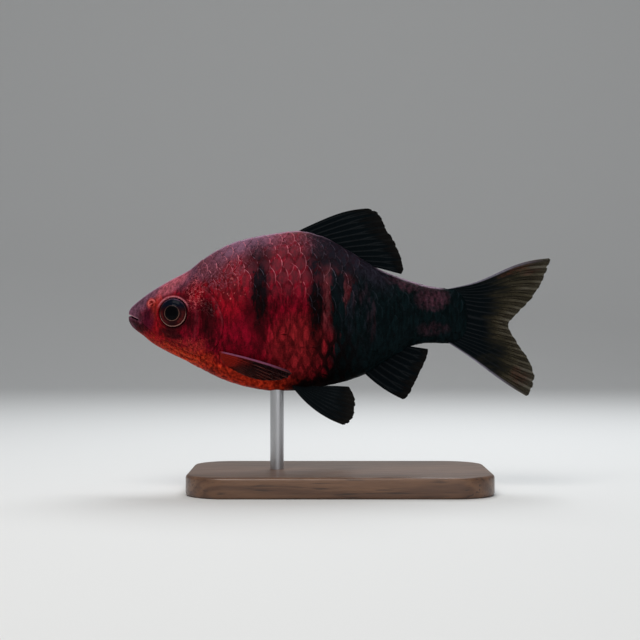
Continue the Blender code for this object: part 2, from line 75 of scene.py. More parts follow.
GILL_EDGE = (  # z and x
    (-8.5, 9.2), (-6.6, 11.2), (-4.0, 13.5), (-0.9, 14.1), (1.9, 13.4), (5.6, 11.2), (8.6, 9.2),
)

# Head
MOUTH_SLOPE = 0.42
MOUTH_LEVEL = 0.06
MOUTH_END = 1.42
MOUTH_CORNER = 1.75
LIP_SWELL = 0.24
LIP_PLACE = 0.46
LIP_WIDTH = 0.34
LIP_END = 2.1
EYE_PLACE = (6.83, 0.46)
EYE_RADIUS = 2.2
EYE_HALF_DEPTH = 1.1
EYE_SUNK = 0.38
NOSTRIL_PLACE = (3.6, 1.82)

# Lines on the head in the side view, x and z
COVER_LINE = (
    (10.2, 4.0), (11.1, 4.2), (12.1, 3.6), (13.1, 2.4), (13.9, 0.8), (14.3, -0.9), (14.1, -2.5), (13.5, -3.9),
    (12.7, -5.0), (11.7, -5.7), (10.6, -5.85), (9.2, -5.4), (7.7, -4.7), (6.3, -4.0), (5.3, -3.4),
)
PREOPERCLE_LINE = (
    (9.7, 3.3), (10.25, 2.2), (10.55, 0.9), (10.7, -0.8), (10.55, -2.5), (9.9, -3.8), (8.7, -4.3),
    (7.3, -4.0), (5.9, -3.2),
)
FOLD_LINES = (
    ((10.9, -6.5), (9.7, -6.35), (8.5, -5.85), (7.2, -5.15), (6.0, -4.45), (5.0, -3.8)),
    ((10.2, -7.0), (9.1, -6.8), (7.9, -6.3), (6.7, -5.6), (5.5, -4.8)),
)
CHEEK_LINE = ((4.2, -0.7), (4.9, -2.0), (6.3, -2.85), (7.9, -2.8), (9.2, -2.0), (9.6, -0.8))
JAW_LINE = ((1.8, -0.55), (2.4, -1.3), (3.2, -1.9), (4.1, -2.5))

# Skin: rows of its mesh, as start, end and step
SKIN_ROWS = ((0.12, 2.4, 0.045), (2.4, 4.2, 0.055), (4.2, 9.3, 0.07), (9.3, 14.6, 0.085), (14.6, 47.0, 0.45))
NOSE_TIP = (0, 0, -0.15)
RELIEF_END = (14.6, 15.4)

# Scales
COAT_DEPTH = 0.12
COAT_FROM = 8.2
COAT_END = STEM_END - 0.03
SCALE_LENGTH = 1.95  # in scale spacings along a row
SCALE_RISE = 0.11
SCALE_THICKNESS = 0.035
SCALE_STEPS = (0, 0.22, 0.42, 0.56, 0.68, 0.78, 0.86, 0.92, 0.96, 0.985, 1)  # from root to free edge
SCALE_COLUMNS = 11

# Fins
FIN_DETAIL = 14  # columns of the mesh to each ray
FIN_SUNK = 0.45
FIN_NOTCH = 0.012
ROOT_GAP = 0.1
STEM_END_RISE = 4.05
DORSAL_ROOT = (25.0, 36.4)
ANAL_ROOT = (34.8, 41.4)

# The fins' free margins, from the front to the back, as x and z
DORSAL_MARGIN = (
    (34.9, 15.85), (35.9, 15.6), (36.9, 14.95), (37.9, 12.8), (39.0, 11.1), (39.9, 9.0), (40.4, 7.1),
    (40.15, 6.15),
)
ANAL_MARGIN = ((40.4, -12.3), (41.3, -11.5), (42.0, -10.0), (43.0, -7.95), (43.9, -5.9), (44.05, -4.85))
CAUDAL_MARGIN = (
    (LENGTH, 8.55), (61.75, 7.3), (61.0, 5.4), (59.6, 3.0), (57.7, 0.9), (56.2, -0.6), (55.9, -1.4),
    (56.2, -2.4), (57.6, -4.6), (59.0, -6.7), (59.6, -8.4), (59.5, -10.4), (58.6, -11.85),
)

# The paired fins: margins as x, out from the middle and z
PELVIC_ROOT = ((24.2, 1.75), (25.5, 1.45), (26.7, 1.2))  # x and out from the middle
PELVIC_MARGIN = (
    (31.2, 4.2, -15.65), (32.1, 4.25, -15.55), (32.9, 4.0, -14.6), (33.2, 3.4, -13.0), (33.1, 2.8, -11.7),
    (32.4, 2.2, -10.5),
)
PECTORAL_ROOT = ((13.6, -5.1), (13.8, -5.9), (14.2, -6.8))  # x and z
PECTORAL_MARGIN = (
    (23.7, 5.5, -7.85), (24.0, 5.45, -8.4), (23.4, 5.25, -8.95), (21.8, 4.85, -9.3), (20.0, 4.55, -9.3),
    (18.2, 4.25, -8.95), (16.8, 4.1, -8.35),
)

# Stand and studio
BOARD_CORNER = 6.0
BOARD_BEVEL = 0.5
FLOOR_HALF_WIDTH = 900
FLOOR_FRONT = -600
FLOOR_BEND = 330
BEND_RADIUS = 170
WALL_TOP = 900
CAMERA_LENS = 85
CAMERA_AIM = (28.13, 0, -0.589)
CAMERA_DISTANCE = 222.5
LAMP_TARGET = (30, 0, 0)
LAMPS = (  # name, place from the target, size, power, tint
    ("key", (-60, -130, 230), 150, 0.38, (1.0, 0.97, 0.93)),
    ("front", (60, -260, 60), 220, 0.10, (0.95, 0.97, 1.0)),
    ("rim", (40, 130, 200), 140, 0.42, (0.92, 0.96, 1.0)),
)
PAINT_GAIN = 1.25  # how much lighter the paints are than their colours in the photo


def paint_of(red, green, blue):
    """A colour as it is seen on a screen, 0 to 255, as a linear one."""
    parts = (np.array((red, green, blue)) / 255 + 0.055) / 1.055
    return (*(parts**2.4 * PAINT_GAIN).tolist(), 1.0)


CRIMSON = paint_of(104, 2, 22)
WINE = paint_of(62, 5, 14)
SCARLET = paint_of(118, 12, 18)
FLAME = paint_of(162, 42, 22)
EMBER_RED = paint_of(146, 40, 34)
RUST = paint_of(100, 10, 6)
ROSE = paint_of(146, 70, 80)
PLUM = paint_of(98, 66, 86)
DUSK = paint_of(70, 38, 50)
SNOUT = paint_of(84, 52, 66)
MAROON = paint_of(34, 5, 10)
VIOLET = paint_of(46, 10, 26)
BLACK = paint_of(9, 1, 2)
TEAL_BLACK = paint_of(0, 13, 15)
SLATE = paint_of(24, 22, 30)
LILAC_GREY = paint_of(62, 34, 44)
CLAY = paint_of(108, 22, 25)
DUSTY = paint_of(70, 34, 36)
SHEEN = paint_of(176, 150, 172)
PALE_PINK = paint_of(152, 92, 110)

# Soft ovals of colour in the side view: colour, place, size, lean in degrees, softness, strength
CHEEK_SPOTS = (
    (SCARLET, (5.4, 0.6), (1.6, 3.4), -12, 0.45, 0.8),
    (SCARLET, (10.1, 3.9), (1.6, 1.5), 20, 0.45, 0.6),
    (SCARLET, (4.9, -2.5), (2.6, 1.2), 0, 0.45, 0.75),
    (MAROON, (6.6, -2.5), (1.8, 0.8), -6, 0.45, 0.9),
    (MAROON, (9.2, -1.4), (0.5, 1.8), 12, 0.45, 0.5),
    (WINE, (9.2, 1.4), (1.0, 2.6), 8, 0.45, 0.75),
)
CROWN_SPOTS = (
    (DUSK, (11.4, 7.6), (4.0, 2.1), 38, 0.45, 0.85),
    (ROSE, (6.2, 4.6), (2.4, 0.8), 34, 0.75, 0.9),
)
LOW_SPOTS = (
    (VIOLET, (3.1, -0.6), (0.8, 1.5), -10, 0.8, 0.8),
    (MAROON, (1.4, -1.4), (1.3, 0.55), -42, 0.45, 0.85),
    (EMBER_RED, (10.0, -4.6), (1.4, 0.7), 20, 0.45, 0.4),
    (CLAY, (25.0, -4.8), (3.6, 3.8), 0, 0.7, 0.85),
)
# Ovals where the winding lines get pale painted highlights, with the columns given above
CURL_SPOTS = (
    (PALE_PINK, (12.0, 6.8), (4.2, 2.2), 36, 0.45, 0.45),
    (paint_of(200, 88, 92), (10.1, 3.2), (1.2, 2.2), 0, 0.45, 0.7),
    (paint_of(170, 52, 48), (9.4, -3.9), (2.0, 1.0), 0, 0.45, 0.6),
    (paint_of(96, 58, 62), (12.2, 1.2), (1.2, 1.2), 0, 0.45, 0.55),
)
# The same without a colour: shadows on the gill cover and the tail stem's lilac
COVER_SHADOWS = (
    ((11.9, -0.5), (1.35, 3.1), 4, 0.45, 0.74),
    ((12.6, 5.0), (2.0, 1.0), 40, 0.45, 0.35),
)
LILAC_SPOTS = (
    ((44.6, 2.6), (1.7, 1.2), 0, 0.8, 0.9),
    ((42.4, 4.5), (3.2, 0.7), -14, 0.8, 0.7),
    ((44.8, -1.9), (1.6, 0.7), 0, 0.9, 0.35),
)
# Red-brown places on the tail: place, size, lean
TAIL_RUST = (
    ((57.4, 7.1), (2.4, 0.45), 24),
    ((57.6, -8.8), (1.2, 1.0), -50),
    ((59.2, 6.6), (1.2, 0.4), 20),
)
# Patches that make up the first two bars: place, size, strength
BAR_PATCHES = (
    ((19.5, 3.4), (1.05, 3.4), 1.0),
    ((19.3, 0.7), (1.6, 2.1), 0.55),
    ((19.5, -0.6), (0.95, 2.6), 0.66),
    ((19.2, 8.4), (1.5, 2.2), 0.62),
    ((19.5, -3.4), (0.6, 2.2), 0.45),
    ((27.6, 1.2), (0.95, 3.8), 1.0),
    ((27.8, 7.6), (1.3, 3.0), 0.74),
    ((28.0, -3.6), (0.5, 2.6), 0.6),
)


def fitted(places, values):
    """A smooth curve through the values that never swings past them."""
    t, v = np.asarray(places, float), np.asarray(values, float)
    step = np.diff(t)
    rise = np.diff(v) / step
    slope = np.zeros_like(v)
    slope[0], slope[-1] = rise[0], rise[-1]
    same_way = rise[:-1] * rise[1:] > 0
    before, after = 2 * step[1:] + step[:-1], step[1:] + 2 * step[:-1]
    first, second = (np.where(same_way, side, 1) for side in (rise[:-1], rise[1:]))
    slope[1:-1] = np.where(same_way, (before + after) / (before / first + after / second), 0)

    def at(x):
        i = np.clip(np.searchsorted(t, x) - 1, 0, len(step) - 1)
        q = (np.clip(x, t[0], t[-1]) - t[i]) / step[i]
        ends = v[i] * (1 + 2 * q) * (1 - q) ** 2 + v[i + 1] * q * q * (3 - 2 * q)
        return ends + step[i] * (slope[i] * q * (1 - q) ** 2 + slope[i + 1] * q * q * (q - 1))

    return at


def line_through(points, samples=400):
    """A smooth line through points, as a function of the share of its length."""
    p = np.asarray(points, float)
    p = np.vstack([2 * p[0] - p[1], p, 2 * p[-1] - p[-2]])
    spans = len(p) - 3
    t = np.linspace(0, spans, samples)
    i = np.minimum(t.astype(int), spans - 1)
    q = (t - i)[:, None]
    a, b, c, d = p[i], p[i + 1], p[i + 2], p[i + 3]
    line = 0.5 * (2 * b + (c - a) * q + (2 * a - 5 * b + 4 * c - d) * q**2 + (3 * b - a - 3 * c + d) * q**3)
    run = np.concatenate([[0], np.cumsum(np.linalg.norm(np.diff(line, axis=0), axis=1))])
    share = run / run[-1]

    def at(s):
        return np.stack([np.interp(s, share, values) for values in line.T], -1)

    return at


def ease(x, start, end):
    """0 at start and 1 at end, either way round."""
    q = np.clip((x - start) / (end - start), 0, 1)
    return q * q * (3 - 2 * q)


def bump(x, width):
    return np.exp(-((x / width) ** 2))


_place, _back, _belly, _half = np.array(STATIONS).T
back_line, belly_line, half_line = (fitted(np.sqrt(_place), side) for side in (_back, _belly, _half))
gill_edge = fitted(*np.array(GILL_EDGE).T)


def section(x):
    """Middle height, half height and half width of the body at x."""
    root = np.sqrt(np.maximum(x, 0))
    back, belly, half = back_line(root), belly_line(root), half_line(root)
    past = np.clip((x - STEM_ROUND_FROM) / (STEM_END - STEM_ROUND_FROM), 0, 1)
    kept = (1 - past**STEM_ROUNDNESS) ** (1 / STEM_ROUNDNESS)
    return (back + belly) / 2, (back - belly) / 2 * kept, half


def fullness(x, up):
    """The power that the section's roundness is raised to, less where the body is fuller."""
    forehead_to_back = 0.84 + 0.28 * ease(x, 8, 18)
    throat_to_belly = 1.05 - 0.13 * ease(x, 8, 20) + 0.08 * ease(x, 34, 44)
    return np.where(up > 0, forehead_to_back, throat_to_belly)


def half_width(x, z):
    middle, high, wide = section(x)
    up = np.clip((z - middle) / high, -1, 1)
    return wide * np.sqrt(1 - up * up) ** fullness(x, up)


def belly_at(x, y):
    middle, high, wide = section(x)
    out = (np.abs(y) / wide) ** (1 / fullness(x, -1.0))
    return middle - high * np.sqrt(1 - out * out)


def mouth_line(x):
    return MOUTH_LEVEL - MOUTH_SLOPE * x


def flank_grid(rows, turns):
    """Points of the left side, for each x in rows. A turn is -90 degrees on the belly and 90 on the back."""
    x, turn = np.meshgrid(rows, turns, indexing="ij")
    middle, high, wide = section(x)
    up, out = np.sin(turn), np.maximum(np.cos(turn), 0)
    y = wide * out ** fullness(x, up)
    z = middle + high * up
    lips = bump(np.abs(z - mouth_line(x)) - LIP_PLACE, LIP_WIDTH) * (1 - ease(x, 0.6 * LIP_END, LIP_END))
    swell = LIP_SWELL * lips
    reach = np.maximum(np.hypot(y, z - middle), 1e-9)
    return np.stack([x, -y * (1 + swell / reach), z + swell * (z - middle) / reach], -1)


def placed(points):
    """From the fish's millimetres to the frame's metres."""
    return (np.asarray(points, float) + (-LENGTH / 2, 0, SNOUT_HEIGHT)) * MM


def linked(name, data):
    """A new object with that data, put into the scene."""
    made = bpy.data.objects.new(name, data)
    bpy.context.scene.collection.objects.link(made)
    return made


def mesh_object(name, points, faces, look, uv=None, **marks):
    """points are in metres, faces a list of arrays of corner numbers, and marks values kept at each point."""
    mesh = bpy.data.meshes.new(name)
    corners = np.concatenate([group.reshape(-1) for group in faces]).astype(np.int32)
    sizes = np.concatenate([np.full(len(group), group.shape[1]) for group in faces])
    mesh.vertices.add(len(points))
    mesh.vertices.foreach_set("co", points.astype(np.float32).reshape(-1))
    mesh.loops.add(len(corners))
    mesh.loops.foreach_set("vertex_index", corners)
    mesh.polygons.add(len(sizes))
    mesh.polygons.foreach_set("loop_start", np.concatenate([[0], np.cumsum(sizes)[:-1]]).astype(np.int32))
    mesh.update(calc_edges=True)
    if uv is not None:
        layer = mesh.uv_layers.new(name="OFBake")
        layer.data.foreach_set("uv", uv[corners].astype(np.float32).reshape(-1))
    for mark, values in marks.items():
        kept = mesh.attributes.new(mark, "FLOAT", "POINT")
        kept.data.foreach_set("value", values.astype(np.float32).reshape(-1))
    mesh.shade_smooth()
    mesh.validate()
    mesh.materials.append(look)
    return linked(name, mesh)


def grid_faces(rows, columns, closed=False):
    """Quads of a grid of points, row by row. closed joins the last column to the first."""
    i, j = np.meshgrid(np.arange(rows - 1), np.arange(columns if closed else columns - 1), indexing="ij")
    after = (j + 1) % columns
    here, below = i * columns, (i + 1) * columns
    return np.stack([here + j, below + j, below + after, here + after], -1).reshape(-1, 4)


def rim_of(rows, columns):
    """Corner numbers round the edge of a grid of points."""
    return np.concatenate([
        np.arange(columns),
        np.arange(1, rows) * columns + columns - 1,
        np.arange(columns - 2, -1, -1) + (rows - 1) * columns,
        np.arange(rows - 2, 0, -1) * columns,
    ])


def wall_of(rim, count):
    """Quads between a sheet's rim and that of its other face, whose corners have numbers greater by count."""
    after = np.roll(rim, -1)
    return np.stack([rim, after, after + count, rim + count], -1)


def halved(quads):
    return np.concatenate([quads[:, [0, 1, 2]], quads[:, [0, 2, 3]]])


def normals_of(grid):
    """Unit normals of a grid of points."""
    across = np.cross(np.gradient(grid, axis=0), np.gradient(grid, axis=1))
    return across / np.maximum(np.linalg.norm(across, axis=2, keepdims=True), 1e-12)


def plug(tree, node, inputs):
    """Sets a node's inputs, by name or number, each to a plain value or linked to a Value."""
    for slot, value in inputs.items():
        if isinstance(value, Value):
            tree.links.new(value.socket, node.inputs[slot])
        else:
            node.inputs[slot].default_value = value


def made_by(tree, kind, output, inputs, **settings):
    """One output of a new node, as a Value."""
    node = tree.nodes.new(f"ShaderNode{kind}")
    for name, value in settings.items():
        setattr(node, name, value)
    plug(tree, node, inputs)
    return Value(tree, node.outputs[output])


def math_step(operation):
    """A method of Value that puts one math node into the tree."""
    return lambda *parts: made_by(parts[0].tree, "Math", 0, dict(enumerate(parts)), operation=operation)


class Value:
    """A socket of a node tree that can be added, multiplied and so on."""

    __add__ = math_step("ADD")
    __sub__ = math_step("SUBTRACT")
    __mul__ = math_step("MULTIPLY")
    __pow__ = math_step("POWER")
    times_plus = math_step("MULTIPLY_ADD")
    at_most = math_step("MINIMUM")
    at_least = math_step("MAXIMUM")
    size = math_step("ABSOLUTE")
    sine = math_step("SINE")

    def __init__(self, tree, socket):
        self.tree, self.socket = tree, socket

    def __rsub__(self, other):
        return self.times_plus(-1.0, other)

    def eased(self, start=0.0, end=1.0):
        """0 at start and 1 at end, either way round."""
        inputs = {"Value": self, "From Min": min(start, end), "From Max": max(start, end)}
        made = made_by(self.tree, "MapRange", "Result", inputs, interpolation_type="SMOOTHSTEP")
        return made if start < end else 1.0 - made

    def within(self, low, high, soft):
        """1 between low and high, and 0 beyond, over a soft edge."""
        return self.eased(low - soft, low + soft) * self.eased(high + soft, high - soft)


class Paint:
    """Builds one material's nodes. Its colour is what has been laid on so far."""

    def __init__(self, name, settings):
        self.material = bpy.data.materials.new(name)
        self.material.use_nodes = True
        self.tree = self.material.node_tree
        self.shader = self.tree.nodes["Principled BSDF"]
        self.colour = None
        self.node = partial(made_by, self.tree)
        plug(self.tree, self.shader, settings)

    def own_place(self):
        """The point in the piece's own metres."""
        return self.node("TexCoord", "Object", {})

    def place(self, scale=(1, 1, 1)):
        """The point in the fish's millimetres, stretched by scale."""
        shift = (LENGTH / 2 * scale[0], 0, -SNOUT_HEIGHT * scale[2])
        inputs = {"Vector": self.own_place(), "Location": shift, "Scale": [s / MM for s in scale]}
        return self.node("Mapping", "Vector", inputs, vector_type="POINT")

    def axes(self, vector=None):
        point = vector or self.place()
        return [self.node("SeparateXYZ", axis, {"Vector": point}) for axis in "XYZ"]

    def mark(self, name):
        return self.node("Attribute", "Fac", {}, attribute_name=name)

    def noise(self, size, detail=2.0, scale=(1, 1, 1), vector=None, rough=0.5):
        """Noise about 0, from roughly -0.5 to 0.5, with features of that size."""
        point = vector or self.place(scale)
        inputs = {"Vector": point, "Scale": 1 / size, "Detail": detail, "Roughness": rough}
        return self.node("TexNoise", "Fac", inputs) - 0.5

    def cells(self, size, scale=(1, 1, 1)):
        """Distance to the nearest of many scattered points."""
        return self.node("TexVoronoi", "Distance", {"Vector": self.place(scale), "Scale": 1 / size})

    def mixed(self, below, above, share):
        return self.node("Mix", 2, {0: share, 6: below, 7: above}, data_type="RGBA")

    def lay(self, above, share):
        """Covers that share of the colour with another."""
        self.colour = self.mixed(self.colour, above, share)

    def brighten(self, amount):
        """Multiplies the colour by one plus amount."""
        self.colour = self.node("VectorMath", 0, {0: self.colour, "Scale": amount + 1.0}, operation="SCALE")

    def finished(self, roughness=None, height=None, depth=0.05, alpha=None):
        """The material. depth is how many millimetres a height of one stands for."""
        inputs = {"Base Color": self.colour, "Roughness": roughness, "Alpha": alpha}
        if height is not None:
            bumps = {"Strength": 1.0, "Distance": depth * MM, "Height": height}
            inputs["Normal"] = self.node("Bump", "Normal", bumps)
        plug(self.tree, self.shader, {slot: value for slot, value in inputs.items() if value is not None})
        return self.material


def greatest(parts):
    return reduce(Value.at_least, parts)


def distance(x, z, place):
    """How far a point of the side view is from place. x and z are sockets."""
    return ((x - place[0]) ** 2.0 + (z - place[1]) ** 2.0) ** 0.5


def oval_at(x, z, place, size, lean=0.0, soft=0.45):
    """A soft-edged oval of the side view, leaning by that many degrees. x and z are sockets."""
    turn = math.radians(lean)
    dx, dz = x - place[0], z - place[1]
    u = (dx * math.cos(turn) + dz * math.sin(turn)) * (1 / size[0])
    v = (dz * math.cos(turn) - dx * math.sin(turn)) * (1 / size[1])
    return (u * u + v * v).eased((1 + soft) ** 2, (1 - soft) ** 2)


def fish_colours(paint):
    """Lays on the body's markings, the same on skin and scales, and gives the values they are made from."""
    x, _, z = paint.axes()
    wander = paint.noise(3.4, 2.0)
    ragged = paint.noise(0.8, 3.0, scale=(1, 1, 0.3))
    mottle = paint.noise(1.5, 3.0)
    streak = paint.noise(0.42, 3.0, scale=(1, 1, 0.28))
    fleck = paint.noise(0.55, 3.0)
    column = paint.noise(0.85, 1.5, scale=(1, 1, 0.12))
    nose = distance(x, z, NOSTRIL_PLACE)
    from_back, from_belly = paint.mark("below"), paint.mark("above")
    from_throat = from_belly + x.eased(13.0, 4.0) * 2.0
    # The point shifted at random, so that edges wander, and another way for the dark parts
    wx, wz = x + wander * 1.5 + ragged * 1.5, z + wander * 1.8 + ragged * 1.5
    bx, bz = x + wander * 0.7 + streak * 1.5, z + wander * 1.2 + ragged * 3.0

    def spot(place, size, lean=0.0, soft=0.45, strength=1.0):
        """An oval with a wandering edge."""
        return oval_at(wx, wz, place, size, lean, soft) * strength

    def patch(place, size, strength):
        """A dark oval whose edges break into upright streaks."""
        return (oval_at(bx, bz, place, size, soft=0.7) * (streak * 1.8 + 1.1) * strength).at_most(1.0)

    def lay_spots(spots):
        for colour, *oval in spots:
            paint.lay(colour, spot(*oval))

    paint.colour = paint.mixed(WINE, CRIMSON, (mottle * 0.9 + streak * 1.5 + 0.68).eased())
    scattered = (mottle * 2.0).eased(0.4, 1.0) * 0.4
    paint.lay(SCARLET, spot((14.8, 3.5), (2.6, 3.6), strength=0.45).at_least(scattered))
    # Orange-red under the head and along the front of the belly, where it reaches higher
    ember_zone = (from_throat + wander * 1.4 + mottle * 1.8).eased(3.8, 1.6) * wx.eased(28.0, 22.5)
    heat = fleck * 1.4 + streak * 1.6 + x.eased(14.0, 18.0) * 0.2 + 0.55
    paint.lay(paint.mixed(RUST, FLAME, heat.eased()), ember_zone)
    # The head
    lay_spots(CHEEK_SPOTS)
    top = (from_back + wander * 0.9 + mottle * 1.2).eased(2.9, 0.6)
    paint.lay(PLUM, top * wx.eased(25.0, 19.0) * 0.95)
    lay_spots(CROWN_SPOTS)
    paint.lay(SNOUT, (wx - z * 0.45 + mottle * 1.6).eased(3.4, 1.5) * 0.9)
    paint.lay(EMBER_RED, spot((4.3, 1.3), (0.6, 1.7), lean=-16, strength=0.75))
    paint.lay(EMBER_RED, (nose + mottle * 0.3).eased(1.0, 0.55) * 0.85)
    lay_spots(LOW_SPOTS)
    dusty = wx.eased(27.6, 29.0) * z.eased(-5.0, 1.0) * (streak * 2.0 + 0.6).eased(0.0, 0.8)
    paint.lay(DUSTY, dusty * 0.85)

    # Dark: the whole rear, the bars, the blotch on the gill cover and specks above the belly
    rear = (bx - z * 0.28 + column * 3.0).eased(29.8, 32.4)
    rear_top = (from_back + mottle * 2.0 + column * 3.0).eased(7.4, 3.0) * wx.eased(23.8, 28.0) * 0.92
    bar_3 = (bx + z * 0.05).within(29.8, 32.0, 0.5) * bz.within(-9.0, 7.0, 1.4)
    lower = (from_belly + ragged * 3.0).eased(3.2, 0.8) * wx.eased(20.6, 25.0) * 0.95
    specks = (column * 3.0 + streak * 2.0 + wx.eased(25.0, 31.0) * 0.7).eased(0.1, 0.8)
    specks = specks * (from_belly + wander * 2.0).eased(8.0, 3.0) * wx.eased(24.0, 28.0) * 0.85
    patches = [patch(*row) for row in BAR_PATCHES] + [spot(*row) for row in COVER_SHADOWS]
    dark = greatest([rear, rear_top, bar_3, lower, specks, *patches])
    # Red that still shows in the black
    thin = (column * 3.0 + streak * 3.0 + 0.4).eased(0.0, 1.3)
    stripe_3 = bx.within(28.8, 29.3, 0.4) * bz.within(-7.0, 5.8, 1.4) * 0.8
    stripe_4 = bx.within(32.3, 32.8, 0.5) * bz.within(0.6, 5.9, 1.4) * 0.18
    shows = greatest([
        stripe_3.at_least(stripe_4) * (streak * 2.8 + ragged * 1.4 + 0.95).eased(0.5, 1.3),
        spot((29.0, -3.4), (1.8, 2.2), strength=0.4) * thin,
        spot((34.8, 0.6), (2.2, 4.4), strength=0.16) * thin,
    ])
    dark = (dark * (1.0 - shows) * (streak * 0.35 + 1.05)).at_most(0.995)
    # The black itself: teal on the rear, grey along the back, lilac on the tail stem
    black = paint.mixed(BLACK, TEAL_BLACK, (wander + bx.eased(28.5, 30.5) * 0.9 - 0.05).eased(0.0, 0.8))
    brown = spot((34.0, 1.5), (2.4, 5.2), strength=0.5) * thin
    slate = (from_back + wander * 1.5).eased(4.6, 0.8) * wx.within(25.0, 38.0, 2.0)
    black = paint.mixed(black, SLATE, brown.at_least(slate))
    lilac = greatest(spot(*row) for row in LILAC_SPOTS)
    black = paint.mixed(black, LILAC_GREY, lilac * (fleck * 2.0 + 0.6).eased())
    paint.lay(black, dark)
    calm = 1.0 - x.within(14.6, 18.6, 1.2) * z.eased(2.0, -1.5) * 0.6
    paint.brighten((streak.eased(-0.16, 0.16) * 0.75 - 0.34 + mottle * 0.25) * calm)
    return SimpleNamespace(
        x=x, z=z, dark=dark, from_back=from_back, from_belly=from_belly, from_throat=from_throat,
        mottle=mottle, streak=streak, wander=wander, fleck=fleck, nose=nose, spot=spot,
    )


def curls_of(paint):
    """Thin winding lines, for a fine relief on the skin and for pale painted highlights."""
    return paint.noise(0.5, 1.5).size().eased(0.035, 0.0)


def lay_top_highlight(paint, at, fine):
    """Paints a grey highlight along the top edge, but not under the dorsal fin."""
    bare = at.x.eased(31.0, 26.0).at_least(at.x.within(36.6, 46.0, 0.8))
    paint.lay(SHEEN, (at.from_back + fine * 0.3).eased(0.32, 0.0) * bare * 0.5)


def skin_material():
    paint = Paint("barb_skin", {"Roughness": 0.5, "Specular IOR Level": 0.025})
    at = fish_colours(paint)
    x, z = at.x, at.z
    fine = paint.noise(0.22, 3.0)
    curls = curls_of(paint)
    pores = paint.cells(0.42)
    paint.brighten(fine * 1.6)
    crease, crest = paint.mark("crease"), paint.mark("crest")
    # Pale painted highlights along winding lines on the nape, behind the eye and on the dark of the gill
    # cover, where the relief winds too
    for colour, *oval in CURL_SPOTS:
        paint.lay(colour, curls * at.spot(*oval))
    # Painted shade in the creases and pale painted highlights on the crests of the relief
    crest_highlight = paint.mixed(paint_of(140, 58, 70), paint_of(196, 76, 46), at.from_belly.eased(4.6, 2.4))
    paint.lay(crest_highlight, crest * (at.fleck * 3.0 + at.mottle * 1.5 + 0.6).eased() * 0.62)
    paint.lay(paint_of(24, 3, 6), crease * (at.mottle * 1.2 + 0.8).eased() * 0.75)
    # Painted glints: pale flecks in clusters on the cheeks and behind the eye, and fiery ones on the throat
    glint_specks = pores.eased(0.26, 0.1) * (paint.noise(1.1, 1.0) * 3.0).eased(0.1, 0.9)
    cheek = at.spot((10.0, 3.0), (1.2, 1.8), strength=0.7)
    cheek = cheek.at_least(x.eased(14.5, 12.0) * x.eased(2.0, 4.5) * 0.25)
    paint.lay(paint_of(220, 104, 98), glint_specks * cheek * 0.6)
    throat = at.from_throat.eased(4.2, 2.6) * x.within(3.0, 16.0, 1.5)
    paint.lay(paint_of(210, 80, 40), (curls * 0.8).at_least(glint_specks) * throat * 0.6)
    # The lid gets a pink painted highlight over the eye and painted shade under it
    eye_level = EYE_PLACE[1]
    lid = (distance(x, z, EYE_PLACE) + fine * 0.15).within(2.2, 2.46, 0.07)
    paint.lay(paint_of(184, 104, 114), lid * z.eased(eye_level + 0.4, eye_level + 1.9) * (fine * 2.0 + 0.8))
    paint.lay(MAROON, lid * z.eased(eye_level - 0.2, eye_level - 1.6) * 0.7)
    # A pale flap curls round the nostril
    dx, dz = x - NOSTRIL_PLACE[0], z - NOSTRIL_PLACE[1]
    flap = (at.nose + fine * 0.15).within(0.42, 0.62, 0.07) * (dz - dx * 0.9).eased(-0.5, 0.1)
    bridge = (dz - dx * 0.5 + fine * 0.1).within(-0.07, 0.03, 0.04) * at.nose.eased(0.5, 0.4)
    paint.lay(paint_of(190, 88, 84), flap.at_least(bridge) * 0.85)
    # Lips: a pale lower edge on the upper one, and painted shade in the seam between them
    seam = z + x * MOUTH_SLOPE - MOUTH_LEVEL
    paint.lay(paint_of(180, 130, 142), seam.within(0.08, 0.3, 0.07) * x.eased(1.75, 1.2) * 0.75)
    paint.lay(paint_of(12, 4, 7), seam.size().eased(0.1, 0.03) * x.eased(1.75, 1.4))
    # A painted grey highlight along the top edge
    lay_top_highlight(paint, at, fine)
    height = fine * 0.5 + pores * 0.35 + paint.noise(0.09, 2.0) * 0.25 + curls * 0.4
    return paint.finished(fine * 0.25 + 0.48, height, depth=0.05)


